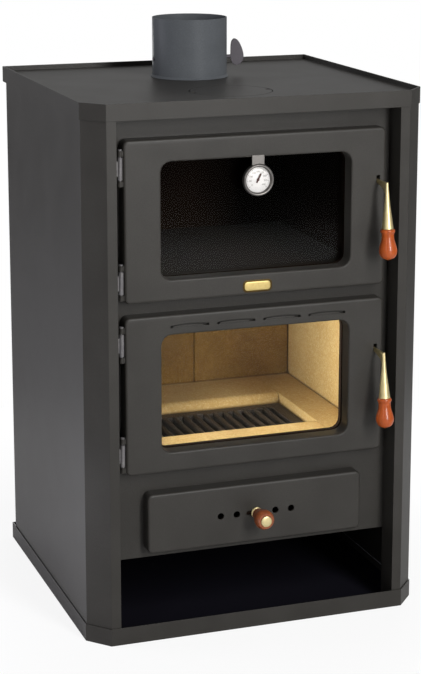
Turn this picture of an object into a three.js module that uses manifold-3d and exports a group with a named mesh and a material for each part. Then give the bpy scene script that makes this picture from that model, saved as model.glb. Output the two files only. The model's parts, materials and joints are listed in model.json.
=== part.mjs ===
// Wood-burning stove with an oven above the firebox, an ash drawer and a log bay.
// Sizes are in millimetres. X runs to the right, Y to the back and Z up.
// The origin lies on the floor, under the middle of the base tray.

import * as THREE from 'three';
import { mergeVertices } from 'three/addons/utils/BufferGeometryUtils.js';
import Module from 'manifold-3d';

const wasm = await Module();
wasm.setup();

// Overall sizes
const stoveWidth = 580;
const stoveDepth = 541;
const rimTop = 885; // top edge of the hob rim above the floor
const gap = 0.3; // left between pieces that touch
const overrun = 6; // how far a cut passes what it cuts

// Base tray and hob tray
const traySheet = 1.5;
const cornerCutWidth = 33;
const cornerCutDepth = 37;
const baseRimHeight = 29;
const topRimHeight = 27;
const hemWidth = 3; // folded top edge of the hob rim
const hobSink = 8; // cooking surface below the rim
const hobThickness = 6;
const lidRadius = 68;
const lidLine = 1.5; // open line round the lid
const lidFromFront = 147.7;
const lidNotchLength = 7;
const lidNotchWidth = 9;
const seatRingInner = 57;
const seatRingOuter = 80;
const seatRingThickness = 5;
const flueFromBack = 182.5;

// Flue collar and damper
const collarRadius = 65;
const collarWall = 2;
const collarHeight = 103; // above the cooking surface
const collarTail = 6; // below the hob plate
const weldWidth = 3;
const weldHeight = 4;
const damperHeight = 32; // rod above the cooking surface
const damperPlay = 3; // disc to collar bore
const damperSheet = 2;
const damperRodRadius = 3;
const damperRodReach = 10.7; // past the collar
const damperRodEnd = 2; // past the collar on the far side
const keyWidth = 24;
const keyHeight = 46;
const keySheet = 2.5;

// Casing panels and back panel
const casingSheet = 1.5;
const casingBackSetback = 18; // in front of the tray's back edge
const frontFlange = 48.2; // casing face to the inner edge of the front flange
const backFlange = 20;
const reliefHeight = 14; // lower edge of the side sheet above the tray floor
const frontFootLength = 98;
const backFootLength = 42;
const backPanelSheet = 1.5;
const backPanelInset = 2;
const ventSlotLength = 46;
const ventSlotHeight = 7;
const ventSlotPitch = 62;
const ventSlotCount = 7;
const ventRowFromTop = 70;
const ventRowFromBottom = 150;

// Front plate
const plateRecess = 43.7; // front plate behind the casing's front
const plateSheet = 3;
const plateSideGap = 30.7; // plate edge to the casing's inner face
const plateHang = 13; // below the drawer front
const mouthLand = 8; // seal line to the edge of a mouth
const mouthCorner = 12;

// Doors
const doorProud = 25; // door face in front of the front plate
const doorSideGap = 16.5; // door edge to the casing flange
const doorHeight = 262;
const doorSheet = 3;
const doorCorner = 9;
const doorEdge = 4; // rounded front edge
const ovenDoorDrop = 34; // hob rim to the oven door
const doorSpacing = 22.3; // oven door to fire door
const sealSideInset = 23.5;
const sealEndInset = 14;
const ropeRadius = 5;
const windowSideMargin = 61;
const ovenWindowFoot = 34.5;
const ovenWindowHead = 37;
const fireWindowFoot = 32.8;
const fireWindowHead = 33.2;
const windowCorner = 17;
const windowEdge = 3; // rounded edge of the window tunnel
const tunnelDepth = 27;
const glassThickness = 4;
const glassLap = 5; // glass past the window on each side
const retainerDepth = 13.7;
const retainerClearance = 2.5; // retainer to the mouth, for the swing of the door
const bossRadius = 5;
const bossFromWindow = 15.5;
const bossEndShare = 0.16; // of the window height, from its ends

// Air slots over the fire window
const eyebrowLength = 65;
const eyebrowEnd = 4; // height of a slot at its ends
const eyebrowArch = 2; // its middle above its ends
const eyebrowPitch = 79;
const eyebrowCount = 4;
const eyebrowFromTop = 18.7;
const eyebrowShift = 3.5; // row centre to the right of the door's middle
const deflectorDrop = 17;
const deflectorSheet = 1.5;
const deflectorStandoff = 7; // behind the door face

// Door hinges
const hingeRadius = 4.2;
const hingePinRadius = 2.3;
const hingeHeight = 57;
const knuckleHeight = 9;
const hingeNeck = 1.5; // open neck between a knuckle and the barrel
const hingeSetback = 5; // axis behind the door face
const hingeFromBottom = 6;
const hingeFromTop = 16;
const pinHeadRadius = 3.5;
const pinHeadHeight = 2;
const leafSheet = 2.5;
const leafReach = 7.5;
const leafHeight = 24;

// Lift latch and handle
const latchSheet = 4.6;
const lugSheet = 2.4;
const lugHeight = 12;
const latchSetback = 9; // pivot behind the door face
const trunnionRadius = 2.2;
const tongueHeight = 8;
const tonguePlay = 3; // tongue end to the front plate
const armHeight = 6;
const armReach = 43; // pivot to the top of the shank
const gussetDrop = 17;
const gussetLand = 8; // full depth of the gusset, before the shank
const latchSlotPlay = 0.8;
const handleLift = 32; // degrees
const handleAbove = 42; // pivot above the door's middle
const handleHang = 5; // degrees that the shank hangs outward
const shankLength = 75;
const shankTopRadius = 2.6;
const ferruleRadius = 9.2;
const spigotRadius = 3.2;
const spigotLength = 38;
const gripLength = 51;
const gripCollarRadius = 12;
const gripWaistRadius = 10;
const gripBulbRadius = 15;
const keeperSheet = 2.5;
const keeperReach = 11;
const keeperFoot = 13;

// Thermometer
const dialCaseRadius = 26;
const dialCaseDepth = 9;
const dialCaseWall = 2.4;
const dialCaseFloor = 1.5;
const dialCaseBack = 3; // back of the case behind the door face
const dialSheet = 0.8;
const lensSheet = 1.2;
const lensSink = 1.6; // lens below the bezel
const thermometerDrop = 37; // centre below the top of the window
const needleLength = 17;
const needleTail = 6;
const needleWidth = 2.4;
const needleSheet = 0.8;
const needleHubRadius = 2.6;
const needleHubHeight = 1.6;
const needleAngle = 30; // degrees past twelve o'clock
const clipWidth = 21;
const clipLap = 3; // clip over the door face
const clipSheet = 1.2;
const clipTabWidth = 12;
const clipTabDepth = 20;

// Badge plate
const badgeWidth = 50;
const badgeHeight = 20;
const badgeSheet = 1.2;
const badgeCorner = 4;
const badgeFromBottom = 14.5;

// Ash drawer
const drawerWidth = 375;
const drawerHeight = 101;
const drawerSpacing = 35.7; // fire door to drawer front
const ashMouthSide = 15.5;
const ashMouthSill = 4;
const ashMouthHead = 6;
const ashMouthCorner = 6;
const panSideClearance = 7;
const panLift = 1;
const panHeight = 54;
const panLength = 375;
const panSheet = 1.2;
const panLip = 4;
const postSheet = 4;
const postFromMiddle = 140;
const postFoot = 20;
const postHeight = 44;
const railSheet = 2;
const railShelf = 16;
const railLip = 12;
const railClearance = 0.5;

// Air slide and knob
const airHoleRadius = 5.75;
const airHoleFirst = 34;
const airHolePitch = 28;
const airHolesEachSide = 2;
const shutterTravel = 14;
const shutterSheet = 1.5;
const shutterHeight = 24;
const shutterMargin = 8;
const shutterLipSheet = 1.5;
const shutterLipLap = 3;
const shutterRib = 3;
const stemRadius = 3;
const stemPlay = 0.6;
const knobFerruleRadius = 9.5;
const knobFerruleLength = 7;
const knobRadius = 16.2;
const knobBackRadius = 9.6;
const knobFrontRadius = 12.8;
const knobLength = 39;
const knobRecess = 1.2;
const knobSpigotLength = 29;
const screwHeadRadius = 9.3;
const screwHeadHeight = 3.6;
const screwShankRadius = 2.6;
const screwShankLength = 7;

// Inner body
const carcassInset = 1; // carcass side to the plate's edge
const carcassSheet = 2.5;
const carcassBackGap = 22; // carcass to the back edge of the casing
const ashFloorSheet = 3;
const hearthSheet = 3;
const baffleThickness = 12;
const baffleFrontGap = 82;
const ovenSheet = 2;
const ovenCorner = 8;
const ovenSideGap = 32.5; // smoke way beside the oven
const ovenBackGap = 29; // smoke way behind the oven
const ovenCeilingDrop = 2;
const ovenFlange = 12;

// Firebox lining and grate
const hearthDrop = 4.7; // floor bricks below the fire mouth
const floorBrick = 29.7;
const wallBrick = 27.2;
const backBrick = 30;
const backBrickGap = 21; // air space behind the back bricks
const wallBrickRise = 9.3; // wall bricks above the fire mouth
const brickChamfer = 2;
const backSeam = 38; // seam of the back bricks to the right of the middle
const grateWidth = 316;
const grateDepth = 171;
const grateFromFront = 107; // front plate to the grate
const grateThickness = 13;
const grateBorder = 21;
const gratePitch = 18.9;
const grateSlot = 9.4;
const grateLedge = 20; // hearth plate under the grate's border
const bedClearance = 2; // grate to the bricks round it
const bullnoseRadius = 14;

// Facet counts
const roundSides = 32;
const smallSides = 12;
const gripSides = 20;
const cornerSteps = 4;
const edgeSteps = 3;
const ropeSides = 8;
const eyebrowSteps = 8;
const slotEndSteps = 4;
const keySteps = 32;
const bullnoseSteps = 5;

// Places worked out from the sizes
const halfWidth = stoveWidth / 2;
const halfDepth = stoveDepth / 2;
const hobTop = rimTop - hobSink;
const hobUnder = hobTop - hobThickness;
const topRimBottom = rimTop - topRimHeight;
const lidY = lidFromFront - halfDepth;
const flueY = halfDepth - flueFromBack;
const damperZ = hobTop + damperHeight;

const casingInset = traySheet + gap;
const casingHalf = halfWidth - casingInset;
const casingFront = casingInset - halfDepth;
const casingBack = halfDepth - casingBackSetback;
const casingBottom = traySheet + gap;
const casingTop = hobUnder - gap;
const openingHalf = casingHalf - frontFlange;

const plateFront = casingFront + plateRecess;
const plateBack = plateFront + plateSheet;
const plateHalf = casingHalf - casingSheet - plateSideGap;
const doorFront = plateFront - doorProud;
const doorDepth = doorProud - gap;
const doorHalf = openingHalf - doorSideGap;
const ovenDoorBottom = topRimBottom - ovenDoorDrop - doorHeight;
const fireDoorBottom = ovenDoorBottom - doorSpacing - doorHeight;
const drawerBottom = fireDoorBottom - drawerSpacing - drawerHeight;
const plateBottom = drawerBottom - plateHang;

const sealHalf = doorHalf - sealSideInset;
const sealRibHalf = ropeRadius;
const mouthHalf = sealHalf - mouthLand;
const mouthInset = sealEndInset + mouthLand;
const ovenMouthBottom = ovenDoorBottom + mouthInset;
const ovenMouthTop = ovenDoorBottom + doorHeight - mouthInset;
const fireMouthBottom = fireDoorBottom + mouthInset;
const fireMouthTop = fireDoorBottom + doorHeight - mouthInset;
const ashMouthHalf = drawerWidth / 2 - ashMouthSide;
const ashMouthBottom = drawerBottom + ashMouthSill;
const ashMouthTop = drawerBottom + drawerHeight - ashMouthHead;

const windowHalf = doorHalf - windowSideMargin;
const hingeX = -(doorHalf + gap + hingeRadius);
const hingeY = doorFront + hingeSetback;
const latchX = sealHalf + sealRibHalf + lugSheet + gap + latchSheet / 2;
const handleY = doorHeight / 2 + handleAbove;
const tongueReach = doorProud - latchSetback - tonguePlay;

const carcassHalf = plateHalf - carcassInset;
const carcassInnerHalf = carcassHalf - carcassSheet;
const carcassFront = plateBack + gap;
const carcassBack = casingBack - carcassBackGap;
const carcassInnerBack = carcassBack - carcassSheet;
const ashFloorTop = plateBottom + ashFloorSheet;
const brickTop = fireMouthBottom - hearthDrop;
const hearthTop = brickTop - floorBrick - gap;
const wallBrickTop = fireMouthTop + wallBrickRise;
const wallFace = carcassInnerHalf - gap - wallBrick;
const backBrickBack = carcassInnerBack - backBrickGap;
const backFace = backBrickBack - backBrick;
const ovenHalf = carcassInnerHalf - ovenSideGap - ovenSheet;
const ovenFront = carcassFront;
const ovenBack = carcassInnerBack - ovenBackGap - ovenSheet;
const ovenFloor = ovenMouthBottom;
const ovenCeiling = ovenMouthTop - ovenCeilingDrop;
const grateFront = plateFront + grateFromFront;
const grateBack = grateFront + grateDepth;
const bedHalf = grateWidth / 2 + bedClearance;

const panHalf = ashMouthHalf - panSideClearance;
const panBottom = ashMouthBottom + panLift;
const panFront = plateFront;

// Turns degrees to radians.
const radians = THREE.MathUtils.degToRad;
const quarterTurn = Math.PI / 2;
const halfRound = 2; // quarter turns in half a circle
const cornerCount = 3; // corners of a triangle, numbers of a point

// Colours and finishes
const finishes = {
  stovePaint: { color: '#4b4a4a', roughness: 0.62, metalness: 0.35 },
  darkSteel: { color: '#2c2a29', roughness: 0.75, metalness: 0.4 },
  greySteel: { color: '#77787a', roughness: 0.45, metalness: 0.8 },
  castIron: { color: '#3a332e', roughness: 0.85, metalness: 0.3 },
  firebrick: { color: '#c9a96a', roughness: 0.95, metalness: 0 },
  rope: { color: '#3c3a38', roughness: 1, metalness: 0 },
  clearGlass: { color: '#9aa0a0', roughness: 0.05, metalness: 0, transparent: true, opacity: 0.25 },
  brass: { color: '#d8c177', roughness: 0.3, metalness: 0.9 },
  stainedBeech: { color: '#b5562a', roughness: 0.35, metalness: 0 },
  brightSteel: { color: '#c9cbcc', roughness: 0.25, metalness: 0.95 },
  whiteEnamel: { color: '#efefec', roughness: 0.5, metalness: 0 },
  needlePaint: { color: '#3b2020', roughness: 0.5, metalness: 0 },
};

// Solids from closed geometries

// Makes a solid that can be joined and cut out of a closed geometry.
function solid(geometry) {
  const bare = geometry.clone();
  bare.deleteAttribute('normal');
  bare.deleteAttribute('uv');
  const merged = mergeVertices(bare);
  const positions = merged.attributes.position.array;
  const corners = merged.index.array;
  const triangles = [];
  for (let at = 0; at < corners.length; at += cornerCount) {
    const [a, b, c] = corners.slice(at, at + cornerCount);
    if (a !== b && b !== c && c !== a) triangles.push(a, b, c);
  }
  if (signedVolume(positions, triangles) < 0) triangles.reverse();
  return new wasm.Manifold(new wasm.Mesh({
    numProp: cornerCount,
    vertProperties: new Float32Array(positions),
    triVerts: new Uint32Array(triangles),
  }));
}

// Six times the volume inside a list of triangles, negative where they face inward.
function signedVolume(positions, triangles) {
  const point = (index) => new THREE.Vector3().fromArray(positions, index * cornerCount);
  let total = 0;
  for (let at = 0; at < triangles.length; at += cornerCount) {
    const [a, b, c] = triangles.slice(at, at + cornerCount).map(point);
    total += a.dot(b.cross(c));
  }
  return total;
}

const unite = (first, ...others) => others.reduce((whole, piece) => whole.add(piece), first);
const cut = (body, ...tools) => tools.reduce((left, tool) => left.subtract(tool), body);

// Turns a solid back into a geometry.
function geometryOf(body) {
  const { vertProperties, triVerts, numProp } = body.getMesh();
  const geometry = new THREE.BufferGeometry();
  geometry.setAttribute('position', new THREE.BufferAttribute(vertProperties, numProp));
  geometry.setIndex(new THREE.BufferAttribute(triVerts, 1));
  geometry.computeVertexNormals();
  return geometry;
}

// Makes a named mesh with a material of its own.
function piece(name, body, finish) {
  const material = new THREE.MeshStandardMaterial({ ...finishes[finish], flatShading: true });
  const mesh = new THREE.Mesh(geometryOf(body), material);
  mesh.name = name;
  return mesh;
}

// A group whose x runs right, y up and z out of the stove's front, as the stove is seen.
function facing(frontY, bottomZ, ...children) {
  const group = new THREE.Group();
  group.position.set(0, frontY, bottomZ);
  group.rotation.x = quarterTurn;
  if (children.length) group.add(...children);
  return group;
}

// The two ends of a stretch on one side of the middle, the lower one first.
const spread = (side, inner, outer) => [side * inner, side * outer].sort((a, b) => a - b);

// Basic forms

function block(x0, x1, y0, y1, z0, z1) {
  const geometry = new THREE.BoxGeometry(x1 - x0, y1 - y0, z1 - z0);
  geometry.translate((x0 + x1) / 2, (y0 + y1) / 2, (z0 + z1) / 2);
  return solid(geometry);
}

// A plate of one outline between two heights, with holes.
function slab(outline, z0, z1, holes = []) {
  const toVector = ([x, y]) => new THREE.Vector2(x, y);
  const shape = new THREE.Shape(outline.map(toVector));
  shape.holes = holes.map((hole) => new THREE.Path(hole.map(toVector)));
  const geometry = new THREE.ExtrudeGeometry(shape, { depth: z1 - z0, bevelEnabled: false });
  geometry.translate(0, 0, z0);
  return solid(geometry);
}

// A plate whose outline is given as z and y, between two places along x.
function sidePlate(outline, x0, x1) {
  const shape = new THREE.Shape(outline.map(([z, y]) => new THREE.Vector2(z, y)));
  const geometry = new THREE.ExtrudeGeometry(shape, { depth: x1 - x0, bevelEnabled: false });
  geometry.rotateY(-quarterTurn);
  geometry.translate(x1, 0, 0);
  return solid(geometry);
}

// A round rod along one axis between two places on it.
function rod(axis, radius, from, to, centre = {}, sides = smallSides) {
  const geometry = new THREE.CylinderGeometry(radius, radius, to - from, sides);
  if (axis === 'x') geometry.rotateZ(-quarterTurn);
  if (axis === 'z') geometry.rotateX(quarterTurn);
  const place = { x: 0, y: 0, z: 0, ...centre };
  place[axis] = (from + to) / 2;
  geometry.translate(place.x, place.y, place.z);
  return solid(geometry);
}

// A form turned about z from a profile of radius and height.
function turned(profile, sides = roundSides) {
  const points = profile.map(([radius, height]) => new THREE.Vector2(radius, height));
  const geometry = new THREE.LatheGeometry(points, sides);
  geometry.rotateX(quarterTurn);
  return geometry;
}

// A form stacked from outlines at rising heights, or a ring when the last meets the first.
function stack(levels, outlineAt, ring = false) {
  const outlines = levels.map(({ inset }) => outlineAt(inset));
  const count = outlines[0].length;
  const positions = [];
  levels.forEach(({ z }, level) => outlines[level].forEach(([x, y]) => positions.push(x, y, z)));
  const index = [];
  const last = ring ? levels.length : levels.length - 1;
  for (let level = 0; level < last; level += 1) {
    const lower = level * count;
    const upper = ((level + 1) % levels.length) * count;
    for (let at = 0; at < count; at += 1) {
      const next = (at + 1) % count;
      index.push(lower + at, lower + next, upper + next);
      index.push(lower + at, upper + next, upper + at);
    }
  }
  if (!ring) {
    const flat = outlines[0].map(([x, y]) => new THREE.Vector2(x, y));
    const topStart = (levels.length - 1) * count;
    for (const [a, b, c] of THREE.ShapeUtils.triangulateShape(flat, [])) {
      index.push(a, c, b);
      index.push(topStart + a, topStart + b, topStart + c);
    }
  }
  const geometry = new THREE.BufferGeometry();
  geometry.setAttribute('position', new THREE.Float32BufferAttribute(positions, cornerCount));
  geometry.setIndex(index);
  return solid(geometry);
}

// Outlines

function rectangle(x0, x1, y0, y1) {
  return [[x0, y0], [x1, y0], [x1, y1], [x0, y1]];
}

// A rectangle with round corners, drawn in by an inset.
function rounded(x0, x1, y0, y1, corner, inset = 0, steps = cornerSteps) {
  const radius = Math.max(corner - inset, gap);
  const right = x1 - inset - radius;
  const left = x0 + inset + radius;
  const top = y1 - inset - radius;
  const bottom = y0 + inset + radius;
  const centres = [[right, bottom], [right, top], [left, top], [left, bottom]];
  return centres.flatMap(([x, y], quarter) => arc(x, y, radius, quarter - 1, quarter, steps));
}

// Points on an arc between two quarter turns.
function arc(x, y, radius, from, to, steps) {
  return Array.from({ length: steps + 1 }, (_, step) => {
    const angle = quarterTurn * (from + ((to - from) * step) / steps);
    return [x + radius * Math.cos(angle), y + radius * Math.sin(angle)];
  });
}

// Moves a line of points to its left by a distance, with mitred corners.
function shifted(points, distance, closed) {
  const count = points.length;
  const leftOf = (from, to) => {
    const length = Math.hypot(to[0] - from[0], to[1] - from[1]);
    return [(from[1] - to[1]) / length, (to[0] - from[0]) / length];
  };
  return points.map((point, at) => {
    const atStart = !closed && at === 0;
    const atEnd = !closed && at === count - 1;
    const before = points[(at - 1 + count) % count];
    const after = points[(at + 1) % count];
    const first = atStart ? leftOf(point, after) : leftOf(before, point);
    const second = atEnd ? first : leftOf(point, after);
    const mitre = 1 + first[0] * second[0] + first[1] * second[1];
    return [0, 1].map((axis) => point[axis] + (distance * (first[axis] + second[axis])) / mitre);
  });
}

// The outline of a sheet folded along a line, with its thickness to the line's left.
function folded(points, thickness) {
  return [...points, ...shifted(points, thickness, false).reverse()];
}

// Levels of a form with a rounded upper edge.
function roundedEdge(bottom, top, radius) {
  const edge = Array.from({ length: edgeSteps + 1 }, (_, step) => {
    const angle = (quarterTurn * step) / edgeSteps;
    return { z: top - radius + radius * Math.sin(angle), inset: radius * (1 - Math.cos(angle)) };
  });
  return [{ z: bottom, inset: 0 }, ...edge];
}

// Base tray and hob tray

function trayOutline(inset) {
  const corners = [
    [cornerCutWidth - halfWidth, -halfDepth],
    [halfWidth - cornerCutWidth, -halfDepth],
    [halfWidth, cornerCutDepth - halfDepth],
    [halfWidth, halfDepth],
    [-halfWidth, halfDepth],
    [-halfWidth, cornerCutDepth - halfDepth],
  ];
  return shifted(corners, inset, true);
}

function baseTray() {
  return cut(
    slab(trayOutline(0), 0, baseRimHeight),
    slab(trayOutline(traySheet), traySheet, baseRimHeight + overrun),
  );
}

function topTray() {
  const rim = slab(trayOutline(0), topRimBottom, rimTop, [trayOutline(traySheet)]);
  const hem = slab(trayOutline(0), hobTop, rimTop, [trayOutline(hemWidth)]);
  const plate = slab(trayOutline(traySheet / 2), hobUnder, hobTop);
  const through = [hobUnder - overrun, hobTop + overrun];
  const lidHole = rod('z', lidRadius + lidLine, ...through, { y: lidY }, roundSides);
  const flueHole = rod('z', collarRadius + gap, ...through, { y: flueY }, roundSides);
  return cut(unite(rim, hem, plate), lidHole, flueHole);
}

function hobLid() {
  const disc = rod('z', lidRadius, hobUnder, hobTop, { y: lidY }, roundSides);
  const notches = [-1, 1].map((side) => {
    const ends = spread(side, lidRadius - lidNotchLength, lidRadius + overrun);
    return block(...ends, lidY - lidNotchWidth / 2, lidY + lidNotchWidth / 2, hobUnder - overrun, rimTop);
  });
  return cut(disc, ...notches);
}

function hobSeatRing() {
  const top = hobUnder - gap;
  const ring = turned([
    [seatRingInner, top - seatRingThickness],
    [seatRingOuter, top - seatRingThickness],
    [seatRingOuter, top],
    [seatRingInner, top],
    [seatRingInner, top - seatRingThickness],
  ]);
  ring.translate(0, lidY, 0);
  return solid(ring);
}

// Flue collar and damper

function flueCollar() {
  const inner = collarRadius - collarWall;
  const tail = hobUnder - collarTail;
  const seat = hobTop + gap;
  const top = hobTop + collarHeight;
  const tube = turned([
    [inner, tail],
    [collarRadius, tail],
    [collarRadius, seat],
    [collarRadius + weldWidth, seat],
    [collarRadius, seat + weldHeight],
    [collarRadius, top],
    [inner, top],
    [inner, tail],
  ]);
  tube.translate(0, flueY, 0);
  const reach = collarRadius + overrun;
  return cut(solid(tube), rod('x', damperRodRadius + gap, -reach, reach, { y: flueY, z: damperZ }));
}

function damperPlate() {
  const radius = collarRadius - collarWall - damperPlay;
  const front = flueY + damperRodRadius + gap;
  return rod('y', radius, front, front + damperSheet, { z: damperZ }, roundSides);
}

function damperRod() {
  const left = -(collarRadius + damperRodEnd);
  return rod('x', damperRodRadius, left, collarRadius + damperRodReach, { y: flueY, z: damperZ });
}

// The key is a flat leaf, with its long lobe up and its short lobe down.
const keyShares = [
  [0.06, -0.2], [0.3, -0.33], [0.62, -0.33], [0.92, -0.2], [1, 0.02],
  [0.84, 0.33], [0.54, 0.6], [0.28, 0.67], [0.08, 0.58], [0, 0.2],
];

function damperKey() {
  const corners = keyShares.map(([across, up]) => new THREE.Vector3(across * keyWidth, up * keyHeight, 0));
  const curve = new THREE.CatmullRomCurve3(corners, true);
  const outline = curve.getPoints(keySteps).slice(0, -1).map(({ x, y }) => [x, y]);
  return slab(outline, -keySheet / 2, keySheet / 2);
}

// Casing and back panel

// One casing panel, folded round the corner and back to the front plate.
function casing(side) {
  const tray = trayOutline(casingInset);
  const line = [
    [openingHalf, plateFront - gap],
    [openingHalf, casingFront],
    tray[1],
    tray[2],
    [casingHalf, casingBack],
    [casingHalf - backFlange, casingBack],
  ];
  const outline = folded(line, casingSheet).map(([x, y]) => [side * x, y]);
  const panel = slab(outline, casingBottom, casingTop);
  const relief = block(
    ...spread(side, casingHalf - casingSheet - gap, casingHalf + overrun),
    casingFront + frontFootLength,
    casingBack - backFootLength,
    0,
    traySheet + reliefHeight,
  );
  return cut(panel, relief);
}

function backPanel() {
  const half = casingHalf - backPanelInset;
  const rows = [casingTop - ventRowFromTop, casingBottom + ventRowFromBottom];
  const slots = rows.flatMap((y) => Array.from({ length: ventSlotCount }, (_, at) => {
    const x = (at - (ventSlotCount - 1) / 2) * ventSlotPitch;
    return longHole(x - ventSlotLength / 2, x + ventSlotLength / 2, y, ventSlotHeight / 2);
  }));
  return slab(rectangle(-half, half, casingBottom, casingTop), -backPanelSheet, 0, slots);
}

// A hole with round ends along x.
function longHole(x0, x1, y, radius) {
  const ends = [[x1 - radius, 0], [x0 + radius, halfRound]];
  return ends.flatMap(([x, middle]) => arc(x, y, radius, middle - 1, middle + 1, slotEndSteps));
}

// Front plate with its mouths and the two latch keepers

function frontPlate() {
  const mouths = [
    rounded(-mouthHalf, mouthHalf, ovenMouthBottom, ovenMouthTop, mouthCorner),
    rounded(-mouthHalf, mouthHalf, fireMouthBottom, fireMouthTop, mouthCorner),
    rounded(-ashMouthHalf, ashMouthHalf, ashMouthBottom, ashMouthTop, ashMouthCorner),
  ];
  const plate = slab(rectangle(-plateHalf, plateHalf, plateBottom, casingTop), -plateSheet, 0, mouths);
  const keepers = [ovenDoorBottom, fireDoorBottom].map((bottom) => keeper(bottom + handleY));
  return unite(plate, ...keepers);
}

// An angle welded on the plate, whose shelf the latch tongue bears on from below.
function keeper(pivotY) {
  const shelf = pivotY + tongueHeight / 2 + gap;
  const inside = -plateSheet / 2;
  const outline = [
    [inside, shelf],
    [keeperReach, shelf],
    [keeperReach, shelf + keeperSheet],
    [keeperSheet, shelf + keeperSheet],
    [keeperSheet, shelf + keeperFoot],
    [inside, shelf + keeperFoot],
  ];
  return sidePlate(outline, latchX - latchSheet / 2, latchX + latchSheet / 2);
}

// Inner body

function carcassShell() {
  const line = [
    [carcassHalf, carcassFront],
    [carcassHalf, carcassBack],
    [-carcassHalf, carcassBack],
    [-carcassHalf, carcassFront],
  ];
  return slab(folded(line, carcassSheet), plateBottom, casingTop);
}

// A plate that fills the carcass in plan.
function innerPlate(bottom, top, holes = []) {
  const half = carcassInnerHalf - gap;
  return slab(rectangle(-half, half, carcassFront, carcassInnerBack - gap), bottom, top, holes);
}

// The floor under the ash pan, with a rail for each side of the pan.
function ashFloor() {
  const shelfTop = panBottom - gap;
  const wall = panHalf + railClearance;
  const foot = ashFloorTop - ashFloorSheet / 2;
  const rails = [-1, 1].map((side) => {
    const outline = [
      [wall - railShelf, shelfTop - railSheet],
      [wall, shelfTop - railSheet],
      [wall, foot],
      [wall + railSheet, foot],
      [wall + railSheet, shelfTop + railLip],
      [wall, shelfTop + railLip],
      [wall, shelfTop],
      [wall - railShelf, shelfTop],
    ].map(([x, y]) => [side * x, y]);
    const length = carcassInnerBack - carcassFront - overrun * 2;
    const geometry = new THREE.ExtrudeGeometry(
      new THREE.Shape(outline.map(([x, y]) => new THREE.Vector2(x, y))),
      { depth: length, bevelEnabled: false },
    );
    geometry.rotateX(quarterTurn);
    geometry.translate(0, carcassFront + overrun + length, 0);
    return solid(geometry);
  });
  return unite(innerPlate(plateBottom, ashFloorTop), ...rails);
}

function hearthPlate() {
  const half = grateWidth / 2 - grateLedge;
  const opening = rectangle(-half, half, grateFront + grateLedge, grateBack - grateLedge);
  return innerPlate(hearthTop - hearthSheet, hearthTop, [opening]);
}

function smokeBaffle() {
  const half = carcassInnerHalf - gap;
  const bottom = wallBrickTop + gap;
  const front = plateBack + baffleFrontGap;
  return block(-half, half, front, carcassInnerBack - gap, bottom, bottom + baffleThickness);
}

// The oven is a folded box whose front flange is welded behind the mouth.
function ovenBox() {
  const depth = ovenBack - ovenFront;
  const box = (grow) => rounded(-ovenHalf, ovenHalf, ovenFloor, ovenCeiling, ovenCorner, -grow);
  const outside = slab(box(ovenSheet), -(depth + ovenSheet), 0);
  const flange = slab(box(ovenFlange), -ovenSheet, 0);
  return cut(unite(outside, flange), slab(box(0), -depth, overrun));
}

// Firebox lining

// A brick with a small chamfer on every edge.
function brick(x0, x1, y0, y1, z0, z1) {
  const outline = (inset) => rounded(x0, x1, y0, y1, brickChamfer, inset, 1);
  return stack([
    { z: z0, inset: brickChamfer / 2 },
    { z: z0 + brickChamfer / 2, inset: 0 },
    { z: z1 - brickChamfer / 2, inset: 0 },
    { z: z1, inset: brickChamfer / 2 },
  ], outline);
}

function wallBrickPiece(side) {
  const ends = spread(side, wallFace, carcassInnerHalf - gap);
  return brick(...ends, carcassFront, carcassInnerBack - gap, hearthTop + gap, wallBrickTop);
}

function backBrickPiece(x0, x1) {
  return brick(x0, x1, backFace, backBrickBack, hearthTop + gap, wallBrickTop);
}

function floorBrickPiece(x0, x1, y0, y1) {
  return brick(x0, x1, y0, y1, hearthTop + gap, brickTop);
}

// The back floor brick has a round nose over the grate.
function floorBrickBack() {
  const half = bedHalf - gap;
  const front = grateBack + bedClearance;
  const bottom = hearthTop + gap;
  const nose = arc(front + bullnoseRadius, brickTop - bullnoseRadius, bullnoseRadius, 2, 1, bullnoseSteps);
  const outline = [[front, bottom], ...nose, [backFace - gap, brickTop], [backFace - gap, bottom]];
  const geometry = new THREE.ExtrudeGeometry(
    new THREE.Shape(outline.map(([y, z]) => new THREE.Vector2(y, z))),
    { depth: half * 2, bevelEnabled: false },
  );
  geometry.rotateX(quarterTurn);
  geometry.rotateZ(quarterTurn);
  geometry.translate(-half, 0, 0);
  return solid(geometry);
}

// The grate is a frame with long bars from front to back.
function grate() {
  const half = grateWidth / 2;
  const inner = grateWidth - grateBorder * 2;
  const count = Math.floor((inner + gratePitch - grateSlot) / gratePitch);
  const slots = Array.from({ length: count }, (_, at) => {
    const x = (at - (count - 1) / 2) * gratePitch;
    const hole = longHole(grateFront + grateBorder, grateBack - grateBorder, x, grateSlot / 2);
    return hole.map(([along, across]) => [across, along]);
  });
  const outline = rounded(-half, half, grateFront, grateBack, brickChamfer);
  return slab(outline, hearthTop + gap, hearthTop + gap + grateThickness, slots);
}

// Door hinges

// The welded half: a barrel and a leaf folded back to the front plate.
function hingeBarrel(bottom) {
  const start = bottom + knuckleHeight + hingeNeck;
  const end = bottom + hingeHeight - knuckleHeight - hingeNeck;
  const place = { x: hingeX, y: hingeY };
  const barrel = rod('z', hingeRadius, start, end, place);
  const bore = rod('z', hingePinRadius + gap, start - overrun, end + overrun, place);
  const line = [
    [hingeX, hingeY - leafSheet / 2],
    [hingeX - leafReach, hingeY - leafSheet / 2],
    [hingeX - leafReach, plateFront - gap],
  ];
  const middle = (start + end) / 2;
  const leaf = slab(folded(line.reverse(), leafSheet), middle - leafHeight / 2, middle + leafHeight / 2);
  return cut(unite(barrel, leaf), bore);
}

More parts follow.
